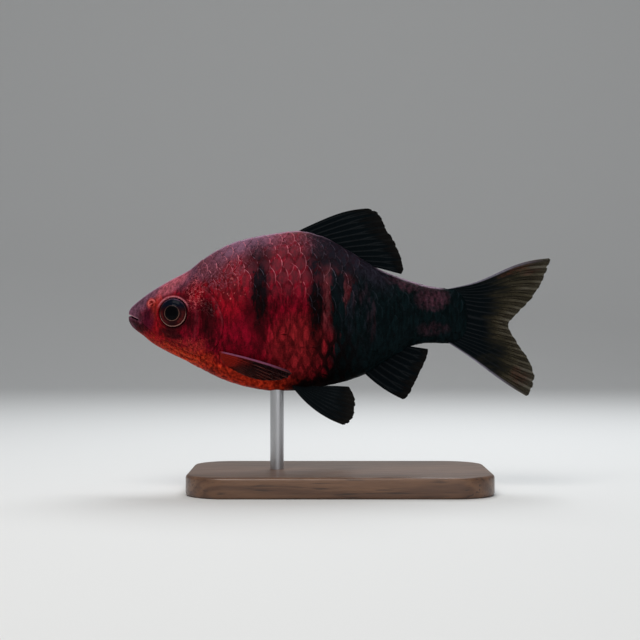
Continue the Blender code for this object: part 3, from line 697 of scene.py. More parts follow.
def scale_material():
    paint = Paint("barb_scales", {"Roughness": 0.45, "Specular IOR Level": 0.022})
    at = fish_colours(paint)
    off, share, tone, across = (paint.mark(name) for name in ("off", "share", "tone", "across"))
    x, z, dark = at.x, at.z, at.dark
    fine = paint.noise(0.16, 2.0)
    paint.brighten((tone - 0.5) * 0.5 + fine * 1.5)
    # How far the scales stand out, up to 1: the least on the front of the flank
    shown = z.eased(1.5, 7.0).at_least(x.eased(19.0, 27.0)) * 0.75 + 0.25
    # Each scale's middle is an oval: a duller pink on the back, brighter than its margin low on the flank
    u, v = (share - 0.5) * 2.5 + at.streak * 0.9, across * 2.1
    oval = (u * u + v * v).eased(1.4, 0.7)
    high = (z + at.mottle * 3.0).eased(1.0, 7.5) * x.eased(36.0, 30.0)
    fore = at.from_back.eased(3.4, 1.2) * x.eased(23.0, 18.5) * x.eased(11.0, 15.0)
    dull = paint.mixed(paint.mixed(paint_of(90, 42, 50), paint_of(108, 74, 92), fore), SLATE, dark)
    paint.lay(dull, (oval * 0.35 + 0.25 + fore * 0.15) * high)
    u, v = (share - 0.5) * 4.4 + at.streak * 2.0, across * 1.6 + at.fleck * 0.7
    margin = 1.0 - (u * u + v * v).eased(1.9, 0.5)
    low = at.from_belly.eased(8.6, 5.6) * x.within(27.4, 33.0, 2.6)
    paint.lay(BLACK, margin * low * (tone * 0.25 + 0.75))
    paint.brighten(low * at.from_belly.eased(6.0, 3.0) * x.eased(27.0, 30.5) * -0.45)
    paint.brighten(margin * z.eased(6.0, 1.0) * x.within(19.5, 31.0, 2.5) * -0.38)
    # Painted shadow on each scale just behind the free edge of the one in front, deeper where the scales
    # stand out more
    paint.brighten(share.eased(0.7, 1.2) * (shown * -0.4 - 0.05))
    # The free edge catches a thin, pinkish light, most of it on the upper half
    lit = z.eased(-3.0, 7.0) * 0.95 + 0.05
    lean = across.eased(-0.5, 0.4) * 0.7 + 0.3
    # Gaps where the painted highlight on the free edge breaks off
    patchy = (at.streak * 5.0 + at.fleck * 5.0 + 0.75).eased(0.0, 1.3)
    glint = off.eased(0.16, 0.05) * lit * lean * (tone * 0.5 + 0.45) * patchy * shown
    on_red = paint.mixed(paint_of(146, 30, 38), paint_of(192, 112, 124), z.eased(0.5, 7.5))
    on_black = paint.mixed(paint_of(70, 66, 78), paint_of(34, 40, 46), x.eased(31.0, 36.0))
    paint.lay(paint.mixed(on_red, on_black, dark), glint.at_most(0.8))
    # Pale painted highlights along winding lines on the nape and the upper back
    upper = (at.from_back + at.wander * 2.0).eased(3.4, 1.6) * x.eased(30.0, 26.0) * 0.4
    nape = at.spot((13.5, 7.4), (5.0, 2.8), lean=36, strength=0.42)
    paint.lay(PALE_PINK, curls_of(paint) * nape.at_least(upper))
    # A painted grey highlight along the top edge
    lay_top_highlight(paint, at, fine)
    # Painted glints: single flecks that flash, in clusters
    cluster = (paint.noise(2.2, 1.0) * 5.0).eased(0.6, 1.1) * 0.7
    cluster = cluster + at.spot((15.8, 4.0), (2.2, 1.7), strength=0.9)
    flash = paint.cells(0.45, scale=(1, 1, 0.7)).eased(0.32, 0.18) * (at.fleck * 4.0).eased(-0.3, 0.4)
    plain = (1.0 - dark * 1.4).at_least(0.0) * x.eased(29.5, 26.0)
    paint.lay(paint_of(210, 102, 100), flash * cluster.at_most(1.0) * plain * (tone * 0.6 + 0.25))
    rings = (off * 40.0).sine() * 0.25
    radii = (across * 46.0).sine() * share.eased(1.0, 0.3) * 0.35
    return paint.finished(fine * 0.2 + 0.45, rings + radii + fine * 0.6, depth=0.015)


def fin_material(name, tip, tip_from, alpha_tip, rust=(), edge_highlight=False):
    """Black rays and membrane that thin out to a brown, see-through margin.

    rust lists ovals, as place, size and lean, where the web is red-brown. The last flag paints a pale
    highlight along the outer rays.
    """
    paint = Paint(name, {"Roughness": 0.6, "Specular IOR Level": 0.02})
    ray, along, across = (paint.mark(mark) for mark in ("ray", "along", "across"))
    fine = paint.noise(0.35, 3.0)
    patchy = paint.noise(1.7, 3.0, scale=(0.45, 1, 1.3))
    out = along + patchy * 0.7
    x, _, z = paint.axes()
    paint.colour = paint.mixed(paint_of(2, 8, 11), tip, out.eased(tip_from, 1.1) * 0.95)
    for place, size, lean in rust:
        patch = oval_at(x + patchy * 2.0, z + patchy * 2.0, place, size, lean, soft=0.7)
        paint.lay(paint_of(66, 34, 24), patch * (fine * 2.0 + 0.5).eased() * 0.8)
    bone = paint.mixed(paint_of(24, 27, 29), paint_of(12, 10, 9), out.eased(tip_from - 0.1, 0.8))
    paint.lay(bone, ray * 0.85)
    # A pale painted highlight along the outermost rays
    if edge_highlight:
        outer = across.eased(0.028, 0.008).at_least(across.eased(0.98, 0.996)) * along.eased(1.05, 0.5)
        paint.lay(paint_of(112, 108, 120), outer * (patchy + 0.6).eased(0.1, 0.8))
    paint.brighten(fine * 0.8)
    joints = (along * 190.0).sine().eased(0.55, 0.95) * ray * along.eased(0.12, 0.3)
    solid = (out.eased(tip_from + 0.15, 1.2) * (1.0 - ray * 0.8)) * (alpha_tip - 1.0) + 1.0
    return paint.finished(fine * 0.2 + 0.55, joints * -0.6 + fine * 0.3, depth=0.03, alpha=solid)


def pectoral_material():
    paint = Paint("pectoral_skin", {"Roughness": 0.5, "Specular IOR Level": 0.05})
    ray, along, across = (paint.mark(mark) for mark in ("ray", "along", "across"))
    patchy = paint.noise(1.6, 2.0)
    fine = paint.noise(0.3, 3.0)
    outer = (along + patchy * 0.3).eased(0.2, 0.5)
    paint.colour = paint.mixed(paint_of(108, 18, 10), paint_of(12, 3, 4), outer)
    bone = paint.mixed(paint_of(90, 18, 14), paint_of(88, 44, 38), along.eased(0.3, 0.6))
    paint.lay(bone, ray.eased(0.55, 1.0) * along.eased(0.15, 0.5) * (patchy * 2.0 + 0.6).eased(0.0, 0.9))
    lead = across.eased(0.07, 0.03) * along.eased(0.0, 0.1)
    paint.lay(paint_of(112, 62, 86), lead * along.eased(1.1, 0.6))
    paint.brighten(fine * 0.8)
    clear = (1.0 - ray * 0.7) * across.eased(0.04, 0.12) * along.within(0.25, 0.99, 0.2)
    return paint.finished(None, fine * 0.3, depth=0.02, alpha=1.0 - clear * 0.3)


def eye_material():
    """Rings about the eye's own axis, in the eye's own millimetres."""
    gloss = {"Roughness": 0.25, "Specular IOR Level": 0.02, "Coat Weight": 0.04, "Coat Roughness": 0.03}
    paint = Paint("eye_skin", gloss)
    own = paint.own_place()
    x, y = (axis * (1 / MM) for axis in paint.axes(own)[:2])
    low = y + 0.07  # the pupil sits a little below the middle
    grain = paint.noise(0.3125 * MM, 3.0, vector=own)
    wobble = ((x * x + y * y) ** 0.5) + grain * 0.10
    inner = ((x * x + low * low) ** 0.5) + grain * 0.08
    # The iris: blue-black above, red below
    paint.colour = paint.mixed(paint_of(30, 4, 8), paint_of(5, 11, 22), y.eased(0.2, 1.2))
    paint.lay(paint_of(62, 12, 14), (grain * 3.0).eased(0.2, 0.9) * y.eased(1.0, 0.0) * 0.6)
    glow = wobble.within(1.45, 1.85, 0.12) * y.eased(0.7, -0.3) * x.size().eased(0.3, 1.1)
    paint.lay(paint_of(72, 18, 18), glow * (grain * 2.0 + 0.7))
    # The pupil with its pale ring, and the rim of the eye
    paint.lay(paint_of(2, 2, 4), inner.eased(1.08, 1.04))
    paint.lay(paint_of(150, 112, 96), inner.within(1.08, 1.12, 0.04) * (y.eased(0.9, -0.3) * 0.5 + 0.22))
    paint.lay(paint_of(180, 132, 120), wobble.within(1.93, 1.99, 0.04) * (y.eased(0.4, -0.9) * 0.85 + 0.06))
    # A lilac painted highlight along the top of the eye, under the lid
    lid_highlight = wobble.eased(1.86, 2.0) * y.eased(1.1, 1.8)
    paint.lay(paint_of(84, 56, 78), lid_highlight * (grain * 3.0 + 0.7).eased(0.2, 0.9))
    # Painted shade round the edge, where the eye sinks into its socket
    paint.lay(paint_of(22, 5, 8), wobble.eased(2.02, 2.08))
    return paint.finished()


def walnut():
    paint = Paint("stand_walnut", {"Roughness": 0.4, "Coat Weight": 0.25, "Coat Roughness": 0.3})
    grain = paint.noise(2.2, 4.0, scale=(0.10, 1.0, 1.0), rough=0.6)
    _, y, z = paint.axes()
    rings = ((y * 1.9 + grain * 9.0 + z * 0.8) * 1.6).sine() * 0.5 + 0.5
    pores = paint.noise(0.35, 2.0, scale=(0.06, 1.0, 1.0))
    pale = rings * 0.6 + grain * 0.6 + 0.1
    paint.colour = paint.mixed((0.085, 0.036, 0.017, 1), (0.19, 0.092, 0.045, 1), pale)
    paint.lay((0.028, 0.012, 0.007, 1), pores.eased(0.06, 0.2) * 0.75)
    return paint.finished(pores * 0.3 + 0.4, pores * -0.8 + grain * 0.2, depth=0.05)


def brushed_steel():
    paint = Paint("stand_brushed_steel", {"Roughness": 0.3, "Metallic": 1.0})
    brushed = paint.noise(0.12, 3.0, scale=(1.0, 1.0, 14.0))
    paint.colour = paint.mixed((0.40, 0.40, 0.41, 1), (0.58, 0.58, 0.59, 1), brushed + 0.5)
    return paint.finished(brushed * 0.3 + 0.3, brushed, depth=0.008)


def nearest(points, line, samples=160):
    """How far (x, z) points are from a line, whether they are on its right, and where along it they are."""
    ends = line_through(line)(np.linspace(0, 1, samples))
    flat = points.reshape(-1, 2)
    best = np.full(len(flat), 1e9)
    right, along = np.zeros(len(flat), bool), np.zeros(len(flat))
    for k, (a, b) in enumerate(zip(ends[:-1], ends[1:])):
        run = b - a
        share = np.clip(((flat - a) @ run) / (run @ run), 0, 1)
        off = flat - (a + share[:, None] * run)
        far = np.hypot(off[:, 0], off[:, 1])
        closer = far < best
        best[closer] = far[closer]
        right[closer] = (run[0] * off[:, 1] - run[1] * off[:, 0] < 0)[closer]
        along[closer] = (k + share[closer]) / (samples - 1)
    shape = points.shape[:-1]
    return best.reshape(shape), right.reshape(shape), along.reshape(shape)


def plate_edge(place, line, fades, plate, groove):
    """A plate on the right of a line, and the groove along its edge.

    fades says where along the line the edge is full, where it starts and stops sinking, and how much of it
    sinks. plate is its height, how soon it has risen and how far it reaches back. groove is its depth and
    width. The result is the relief, the distance from the line, whether a plate is there, the place along the
    line and how full the edge is.
    """
    off, on_plate, along = nearest(place, line)
    full_at, sinks_from, sinks_to, lost = fades
    height, rise, reach = plate
    depth, width = groove
    full = ease(along, 0, full_at) * (1 - lost * ease(along, sinks_from, sinks_to))
    raised = height * ease(off, 0, rise) * np.exp(-off / reach)
    return np.where(on_plate, raised, -depth * bump(off, width)) * full, off, on_plate, along, full


def head_relief(x, z):
    """How far the skin stands out of the plain body, in millimetres, at points of the side view.

    The second and third results are 1 in the creases and on the crests of that relief, and 0 elsewhere.
    """
    place = np.stack([x, z], -1)
    crest = np.zeros_like(x)
    # Gill cover: a plate whose free edge stands over the body behind it
    out, off, plate, along, full = plate_edge(
        place, COVER_LINE, fades=(0.1, 0.62, 0.98, 0.75), plate=(0.24, 0.22, 2.2), groove=(0.1, 0.16)
    )
    out = out - 0.05 * bump(off, 0.06) * full
    crease = np.where(plate, bump(off, 0.07), bump(off, 0.2)) * full
    crest += np.where(plate, 0.7 * bump(off - 0.24, 0.13), 0) * full * (1 - 0.8 * ease(along, 0.25, 0.45))
    # Preopercle: a lower step inside it
    relief, off, plate, along, full = plate_edge(
        place, PREOPERCLE_LINE, fades=(0.2, 0.7, 1.0, 0.6), plate=(0.1, 0.2, 0.9), groove=(0.06, 0.12)
    )
    out += relief
    crease += np.where(plate, 0, 0.6 * bump(off - 0.05, 0.16)) * full
    crest += np.where(plate, bump(off - 0.4, 0.34), 0) * full * 0.25
    # Folds of the gill membrane under the head
    for line in FOLD_LINES:
        relief, off, plate, along, full = plate_edge(
            place, line, fades=(0.15, 0.75, 1.0, 1.0), plate=(0.1, 0.12, 0.4), groove=(0.07, 0.1)
        )
        out += relief
        crease += np.where(plate, 0, bump(off, 0.12)) * full
        crest += np.where(plate, bump(off - 0.16, 0.1), 0) * full
    # The bones under the eye and behind the mouth: a groove with the bone on its left
    for line, depth in ((CHEEK_LINE, 0.045), (JAW_LINE, 0.07)):
        off, right, along = nearest(place, line)
        full = ease(along, 0, 0.2) * (1 - ease(along, 0.8, 1))
        out += np.where(right, 0, 0.06 * ease(off, 0, 0.15) * np.exp(-off / 0.5)) * full
        out -= depth * bump(off, 0.1) * full
        crease += 0.3 * bump(off, 0.14) * full
    # Eye socket and its rim
    away = np.hypot(x - EYE_PLACE[0], z - EYE_PLACE[1])
    out += 0.17 * bump(away - 2.36, 0.17) + 0.05 * bump(away - 2.75, 0.35)
    out -= 0.05 * bump(away - 2.68, 0.12)
    out -= 1.5 * ease(away, 2.24, 1.92)
    crease += 0.5 * bump(away - 2.66, 0.12)
    # Nostrils: two openings with a flap raised between and round them
    dx, dz = x - NOSTRIL_PLACE[0], z - NOSTRIL_PLACE[1]
    away = np.hypot(dx, dz)
    upper, lower = bump(np.hypot(dx + 0.03, dz - 0.17), 0.16), bump(np.hypot(dx - 0.07, dz + 0.22), 0.16)
    out += 0.12 * bump(away - 0.48, 0.13)
    out -= 0.36 * upper + 0.38 * lower
    crease += upper + lower + 0.7 * bump(away - 0.72, 0.1) * ease(dx, -0.1, 0.3)
    # Mouth: the cleft between the lips, and the fold behind its corner
    out -= 0.62 * bump(z - mouth_line(x), 0.085) * ease(x, MOUTH_END + 0.25, MOUTH_END - 0.15)
    corner = np.hypot((x - MOUTH_CORNER) / 0.9, (z - mouth_line(MOUTH_CORNER)) / 1.6)
    out -= 0.05 * bump(corner - 0.55, 0.16) * ease(x, 1.3, 1.7)
    crease += 0.3 * bump(corner - 0.55, 0.18) * ease(x, 1.3, 1.7)
    return out, np.clip(crease, 0, 1), np.clip(crest, 0, 1)


def coat_share(x, z):
    """0 on the bare head and 1 where scales cover the body."""
    return ease(x - gill_edge(z), -0.2, 0.9)


def heights(x, z):
    """How far points are below the back and above the belly."""
    root = np.sqrt(np.clip(x, 0, STEM_END))
    return {"below": back_line(root) - z, "above": z - belly_line(root)}


def unwrap(x, turn, side):
    """A place on the unwrap of the skin: back along the fish, and round it from the belly."""
    round_it = (turn + math.pi / 2) / math.pi
    return np.stack([0.02 + 0.96 * x / STEM_END, 0.5 + side * (0.01 + 0.47 * round_it)], -1)


def skin_grid():
    """The left side with its relief: rows, turns, points and marks."""
    rows = np.concatenate([
        0.12 * (np.arange(1, 26) / 26) ** 2,
        *(np.arange(*span) for span in SKIN_ROWS),
        np.linspace(47.0, STEM_END - 0.01, 18),
    ])
    turns = np.linspace(-math.pi / 2, math.pi / 2, 145)
    left = flank_grid(rows, turns)
    out = normals_of(left)
    out[:, [0, -1], 1] = 0
    out /= np.linalg.norm(out, axis=2, keepdims=True)
    x, z = left[..., 0], left[..., 2]
    start, end = RELIEF_END
    near, crease, crest = (part * ease(x, end, start) for part in head_relief(np.minimum(x, end + 0.1), z))
    relief = near - COAT_DEPTH * coat_share(x, z)
    moved = left + out * relief[..., None]
    moved[:, [0, -1], 1] = 0
    return rows, turns, moved, {"crease": crease, "crest": crest, **heights(x, z)}


def skin(rows, turns, moved, marks):
    """Both sides as one closed surface, joined along the back and the belly."""
    count = len(turns)
    half = len(rows) * count
    points = np.concatenate([moved.reshape(-1, 3), (moved * (1, -1, 1)).reshape(-1, 3), [NOSE_TIP]])
    marks = {mark: np.append(np.tile(values.reshape(-1), 2), values[0, 0]) for mark, values in marks.items()}
    x, turn = np.meshgrid(rows, turns, indexing="ij")
    uv = np.concatenate([*(unwrap(x, turn, side).reshape(-1, 2) for _, side in SIDES), [[0.02, 0.5]]])
    left_faces = grid_faces(len(rows), count)
    a = np.arange(count - 1)
    tip = np.full(count - 1, 2 * half)
    last = (len(rows) - 1) * count
    faces = [
        np.concatenate([left_faces, left_faces[:, ::-1] + half]),
        np.concatenate([np.stack([tip, a, a + 1], -1), np.stack([tip, a + 1 + half, a + half], -1)]),
        np.stack([a + last, a + half + last, a + 1 + half + last, a + 1 + last], -1),
    ]
    made = mesh_object("barb_skin", placed(points), faces, skin_material(), uv, **marks)
    bm = bmesh.new()
    bm.from_mesh(made.data)
    bmesh.ops.remove_doubles(bm, verts=bm.verts, dist=1e-8)
    bmesh.ops.recalc_face_normals(bm, faces=bm.faces)
    bm.to_mesh(made.data)
    bm.free()
    made.data.shade_smooth()
    return made


def flank_lookup():
    """Two functions of the plain left side. arc is measured round the body from the midline.

    The first goes from x and arc to a point, its normal and its turn, and the second from x to the lowest and
    the highest arc.
    """
    rows = np.linspace(8.0, STEM_END - 0.02, 420)
    turns = np.linspace(-math.pi / 2, math.pi / 2, 241)
    grid = flank_grid(rows, turns)
    steps = np.linalg.norm(np.diff(grid, axis=1), axis=2)
    run = np.cumsum(np.pad(steps, ((0, 0), (1, 0))), axis=1)
    middle = np.array([np.interp(math.radians(4), turns, row) for row in run])
    arcs = run - middle[:, None]
    every_turn = np.broadcast_to(turns[:, None], (*arcs.shape, 1))
    known = np.concatenate([grid, normals_of(grid), every_turn], axis=2)

    def at(x, arc):
        flat_x, flat_arc = x.reshape(-1), arc.reshape(-1)
        place = np.clip((flat_x - rows[0]) / (rows[1] - rows[0]), 0, len(rows) - 1.001)
        before = place.astype(int)
        share = (place - before)[:, None]
        found = 0
        for k, weight in ((before, 1 - share), (before + 1, share)):
            column = np.empty(len(flat_x))
            for row in np.unique(k):
                chosen = k == row
                column[chosen] = np.interp(flat_arc[chosen], arcs[row], np.arange(len(turns)))
            j = np.clip(column.astype(int), 0, len(turns) - 2)
            part = (column - j)[:, None]
            found = found + (known[k, j] * (1 - part) + known[k, j + 1] * part) * weight
        found = found.reshape(*x.shape, -1)
        return found[..., :3], found[..., 3:6], found[..., 6]

    def reach(x):
        return np.interp(x, rows, arcs[:, 0]), np.interp(x, rows, arcs[:, -1])

    return at, reach


def scale_roots(reach):
    """Places of the scales, as x, arc, spacing along the row and height of half a scale."""
    found = []
    x, column = COAT_FROM, 0
    while x < STEM_END - 2.2:
        spacing = 1.74 - 0.42 * ease(x, 30, 47) - 0.12 * ease(x, 46, 50) - 0.5 * ease(x, 17, 9)
        tall = 2.04 - 0.72 * ease(x, 27, 45) - 0.5 * ease(x, 18, 9)
        low, high = reach(x)
        for row in range(math.floor(low / tall) - 1, math.ceil(high / tall) + 2):
            if (row + column) % 2 == 0 and low - 0.35 * tall < row * tall < high + 0.35 * tall:
                found.append((x, row * tall, spacing, tall))
        x += spacing / 2
        column += 1
    return found


def scales(name, side, at, roots, look):
    """Overlapping plates in staggered rows. Each rises from its hidden root to its rounded free edge."""
    t, s = np.meshgrid(SCALE_STEPS, np.linspace(-1, 1, SCALE_COLUMNS), indexing="ij")
    count = t.size
    top = grid_faces(*t.shape)
    plate = np.concatenate([top, top[:, ::-1] + count, wall_of(rim_of(*t.shape), count)[:, ::-1]])
    if side > 0:
        plate = plate[:, ::-1]
    patch = np.tile(np.stack([(t - 0.5) * 0.003, s * 0.0015], -1).reshape(-1, 2), (2, 1))
    centre = tuple(steps // 2 for steps in t.shape)
    points, uvs, marks = [], [], {}
    for x, arc, spacing, tall in roots:
        jitter = rng.normal(0, 1, 4)
        length = SCALE_LENGTH * spacing
        q = s * tall * (0.62 + 0.38 * ease(t, 0.0, 0.5)) * (1 + 0.012 * jitter[0])
        bow = tall * 1.06
        edge_at = length - 0.86 * (bow - np.sqrt(np.maximum(bow**2 - q**2, 0)))
        px = x + (t * edge_at + 0.03 * jitter[1])
        point, normal, turn = at(np.minimum(px, COAT_END), arc + q)
        point[..., 0] += np.maximum(px - COAT_END, 0)
        shown = 0.45 + 0.55 * np.maximum(ease(point[..., 2], 1.5, 7.0), ease(x, 19.0, 27.0))
        lift = -COAT_DEPTH + 0.015 + shown * (SCALE_RISE * t**1.3 + 0.014 * jitter[2] * t)
        upper = lift + 0.035 * shown * (1 - s**2) * t
        for level in (upper, upper - SCALE_THICKNESS * (1 - 0.5 * t)):
            points.append((point + normal * level[..., None]).reshape(-1, 3))
        uvs.append(patch + unwrap(min(x + 0.7 * length, STEM_END), turn[centre], side))
        off = (1 - t) * edge_at
        tone = np.full(t.shape, rng.uniform())
        own = {"off": off, "share": off / spacing, "tone": tone, "across": s}
        for mark, values in (own | heights(point[..., 0], point[..., 2])).items():
            marks.setdefault(mark, []).append(np.tile(values.reshape(-1), 2))
    marks = {mark: np.concatenate(values) for mark, values in marks.items()}
    points = np.concatenate(points) * (1, -side, 1)
    faces = [np.concatenate([plate + k * 2 * count for k in range(len(roots))])]
    return mesh_object(name, placed(points), faces, look, np.concatenate(uvs), **marks)


def fin(
    name, root_line, margin, rays, look, half, first, last=(0, 0), elbow=0.0, rows=64, rib=0.075,
    ray_width=0.12, splits=(0.42, 0.72), wave=0.0,
):
    """A fan of branching rays in a thin web, ridged on both faces. Its root is sunk into the body.

    half is half the web's thickness at the root. first and last are the bow and the sway of the rays at the
    front and at the back. elbow is how far the fin turns out of the body. splits says where the rays branch.
    """
    columns = rays * FIN_DETAIL + 1
    across = np.linspace(0, 1, columns)[:, None]
    along = np.linspace(0, 1, rows)[None, :]
    root, tip = root_line(across), margin(across)
    cell = across * rays
    off = cell - (np.minimum(np.floor(cell), rays - 1) + 0.5)
    fork = 0.17 * ease(along, splits[0], splits[0] + 0.25)
    twig = 0.085 * ease(along, splits[1], splits[1] + 0.2)
    width = ray_width * (1 - 0.4 * along)
    ridge = np.max([bump(off - a * fork - b * twig, width) for a in (-1, 1) for b in (-1, 1)], axis=0)
    uneven = 0.006 * np.sin(np.floor(cell) * 2.4 + 1.3) + 0.005 * np.sin(cell * 5.1)
    reach = along * (1 + (uneven - FIN_NOTCH * (1 - ridge[:, -1:])) * along**2)
    side = np.cross(tip - root, (0, 1, 0))
    side /= np.linalg.norm(side, axis=2, keepdims=True)
    bow, sway = ((1 - across) ** 2 * a + across**2 * b for a, b in zip(first, last))
    bend = bow * 4 * along * (1 - along) + sway * np.sin(2 * math.pi * along)
    middle = root + (tip - root) * reach[..., None] + side * bend[..., None]
    middle[..., 1] += elbow * (ease(along, 0, 0.045) - along)
    middle[..., 1] += wave * np.sin(across * 5.0 + along * 2.2) * along
    inward = middle[:, 0] - middle[:, 1]
    inward /= np.linalg.norm(inward, axis=1, keepdims=True)
    if elbow:
        inward[:] = (0, -np.sign(elbow), 0)
    middle[:, 0] += inward * FIN_SUNK
    ribs = rib * ridge * (1 - 0.62 * along) * ease(along, -0.02, 0.08)
    web = half * (1 - 0.72 * ease(along, 0.1, 1.0)) + ribs
    thick = (normals_of(middle) * web[..., None]).reshape(-1, 3)
    middle = middle.reshape(-1, 3)
    points = np.concatenate([middle + thick, middle - thick])
    count = columns * rows
    sheet, wall = halved(grid_faces(columns, rows)), halved(wall_of(rim_of(columns, rows)[::-1], count))
    faces = np.concatenate([sheet, sheet[:, ::-1] + count, wall[:, ::-1]])
    corners = points[faces]
    volume = np.einsum("ij,ij->", corners[:, 0], np.cross(corners[:, 1], corners[:, 2]))
    if volume < 0:
        faces = faces[:, ::-1]
    across, along = np.broadcast_arrays(across, along)
    marks = {"ray": ridge, "along": along, "across": across}
    marks = {mark: np.tile(values.reshape(-1), 2) for mark, values in marks.items()}
    face_uv = np.stack([0.02 + 0.96 * across, 0.01 + 0.48 * along], -1).reshape(-1, 2)
    uv = np.concatenate([face_uv, face_uv + (0, 0.5)])
    made = mesh_object(name, placed(points), [faces], look, uv, **marks)
    made.data.set_sharp_from_angle(angle=math.radians(60))
    return made


def in_plane(x, z):
    return np.concatenate([x, np.zeros_like(x), z], -1)


def edge_root(line, start, end, lift):
    """A fin's root along the back or the belly."""

    def at(s):
        x = (start + (end - start) * s)[..., None]
        return in_plane(x, line(np.sqrt(x)) + lift)

    return at


def stem_root(s):
    """The tail fin's root, round the end of the stem."""
    turn = math.pi * (0.5 - s)[..., None]
    x = STEM_ROUND_FROM + (STEM_END - STEM_ROUND_FROM) * np.maximum(np.cos(turn), 0) ** (2 / STEM_ROUNDNESS)
    return in_plane(x, STEM_END_RISE * np.sign(np.sin(turn)) * np.abs(np.sin(turn)) ** (2 / STEM_ROUNDNESS))


def off_belly(x, y, side):
    """A point a little off the belly, at y from the middle."""
    step = 0.1
    slope = (belly_at(x, y + step) - belly_at(x, y - step)) / (2 * step)
    out = Vector((0, slope, -1)).normalized() * ROOT_GAP
    return (x, side * (y + out.y), belly_at(x, y) + out.z)


def off_flank(x, z, side):
    """A point a little off the flank."""
    return (x, side * (float(half_width(x, z)) + ROOT_GAP), z)


def middle_margin(points):
    return line_through([(x, 0, z) for x, z in points])


def side_margin(points, side):
    return line_through([(x, side * y, z) for x, y, z in points])


def fins():
    black = fin_material("fin_black_web", paint_of(22, 20, 18), 0.72, 0.92)
    tail = fin_material("tail_web", paint_of(64, 57, 40), 0.3, 0.62, TAIL_RUST, edge_highlight=True)
    folded = pectoral_material()
    dorsal = fin(
        "dorsal_fin_web", edge_root(back_line, *DORSAL_ROOT, 0.02), middle_margin(DORSAL_MARGIN), 11, black,
        0.22, first=(0.52, -0.08), wave=0.12,
    )
    anal = fin(
        "anal_fin_web", edge_root(belly_line, *ANAL_ROOT, -0.02), middle_margin(ANAL_MARGIN), 8, black,
        0.22, first=(-0.3, 0.0), wave=0.1,
    )
    caudal = fin(
        "caudal_fin_web", stem_root, middle_margin(CAUDAL_MARGIN), 19, tail, 0.2,
        first=(0.2, -0.36), last=(-0.1, 0.1), rows=84, wave=0.22,
    )
    made = [
        (dorsal, "dorsal_fin", "fin_black"),
        (anal, "anal_fin", "fin_black"),
        (caudal, "caudal_fin", "fin_black"),
    ]
    for word, side in SIDES:
        pelvic = fin(
            f"pelvic_fin_web_{word}", line_through([off_belly(x, y, side) for x, y in PELVIC_ROOT]),
            side_margin(PELVIC_MARGIN, side), 9, black, 0.2,
            first=(-0.68, 0.0), last=(0.1, 0), rows=48, rib=0.09,
        )
        pectoral = fin(
            f"pectoral_fin_web_{word}", line_through([off_flank(x, z, side) for x, z in PECTORAL_ROOT]),
            side_margin(PECTORAL_MARGIN, side), 9, folded, 0.16,
            first=(0.2, 0.0), last=(-0.1, 0), elbow=side * 0.62, rows=60, rib=0.07, ray_width=0.24,
            splits=(1.2, 1.4),
        )
        made.append((pelvic, f"pelvic_fin_{word}", "fin_black"))
        made.append((pectoral, f"pectoral_fin_{word}", "pectoral_membrane"))
    for piece, node, slot in made:
        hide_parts(node)
    return [piece for piece, _, _ in made]


def skin_frame(x, z, side):
    """A frame on the head's side whose Z points straight out of the skin and whose Y points up."""
    step = 0.2
    along = Vector((2 * step, side * float(half_width(x + step, z) - half_width(x - step, z)), 0))
    up = Vector((0, side * float(half_width(x, z + step) - half_width(x, z - step)), 2 * step))
    out = along.cross(up).normalized()
    out = out if out.y * side > 0 else -out
    flat_up = (Vector((0, 0, 1)) - out * out.z).normalized()
    turn = Matrix((flat_up.cross(out), flat_up, out)).transposed().to_4x4()
    middle = Vector(placed((x, side * float(half_width(x, z)), z)))
    return Matrix.Translation(middle) @ turn


def eye(word, side, look):
    """A shallow dome with a pupil that stands a little proud of the iris."""
    lean = np.linspace(0, math.pi / 2, 40)
    radii, depth = EYE_RADIUS * np.sin(lean), EYE_HALF_DEPTH * np.cos(lean)
    depth = depth + 0.05 * ease(radii, 1.2, 0.85) - 0.03 * bump(radii - 1.24, 0.12)
    radii = np.append(radii, EYE_RADIUS * np.array([0.9, 0.6]))[1:, None]
    depth = np.append(depth, [-0.5, -0.7])
    steps = 72
    turns = np.linspace(0, 2 * math.pi, steps, endpoint=False)
    rings = np.broadcast_arrays(radii * np.cos(turns), radii * np.sin(turns), depth[1:, None])
    rings = np.stack(rings, -1).reshape(-1, 3)
    points = np.concatenate([rings, [(0, 0, depth[0]), (0, 0, depth[-1])]])
    k = np.arange(steps)
    after = (k + 1) % steps
    last = len(rings) - steps
    faces = [
        grid_faces(len(radii), steps, closed=True),
        np.stack([np.full(steps, len(rings)), k, after], -1),
        np.stack([np.full(steps, len(rings) + 1), last + after, last + k], -1),
    ]
    made = mesh_object(f"eye_ball_{word}", points * MM, faces, look)
    made.matrix_world = skin_frame(*EYE_PLACE, side) @ Matrix.Translation((0, 0, -EYE_SUNK * MM))
    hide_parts(f"eye_{word}")
    return made


def board():
    """The stand's base with round corners and softened edges."""
    low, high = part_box("stand_base")
    size = high - low
    bm = bmesh.new()
    bmesh.ops.create_cube(bm, size=1)
    bm.transform(Matrix.Translation((high + low) / 2) @ Matrix.Diagonal((*size, 1)))
    upright = [e for e in bm.edges if abs(e.verts[0].co.z - e.verts[1].co.z) > size.z / 2]
    bmesh.ops.bevel(bm, geom=upright, offset=BOARD_CORNER * MM, segments=20, profile=0.5, affect="EDGES")
    flat = [e for e in bm.edges if abs(e.verts[0].co.z - e.verts[1].co.z) < 1e-6 and len(e.link_faces) == 2]
    flat = [e for e in flat if abs(e.link_faces[0].normal.z - e.link_faces[1].normal.z) > 0.5]
    bmesh.ops.bevel(bm, geom=flat, offset=BOARD_BEVEL * MM, segments=5, profile=0.5, affect="EDGES")
    mesh = bpy.data.meshes.new("stand_board")
    bm.to_mesh(mesh)
    bm.free()
    mesh.shade_smooth()
    mesh.set_sharp_from_angle(angle=math.radians(30))
    mesh.materials.append(walnut())
    made = linked("stand_board", mesh)
    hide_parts("stand_base")
    return made


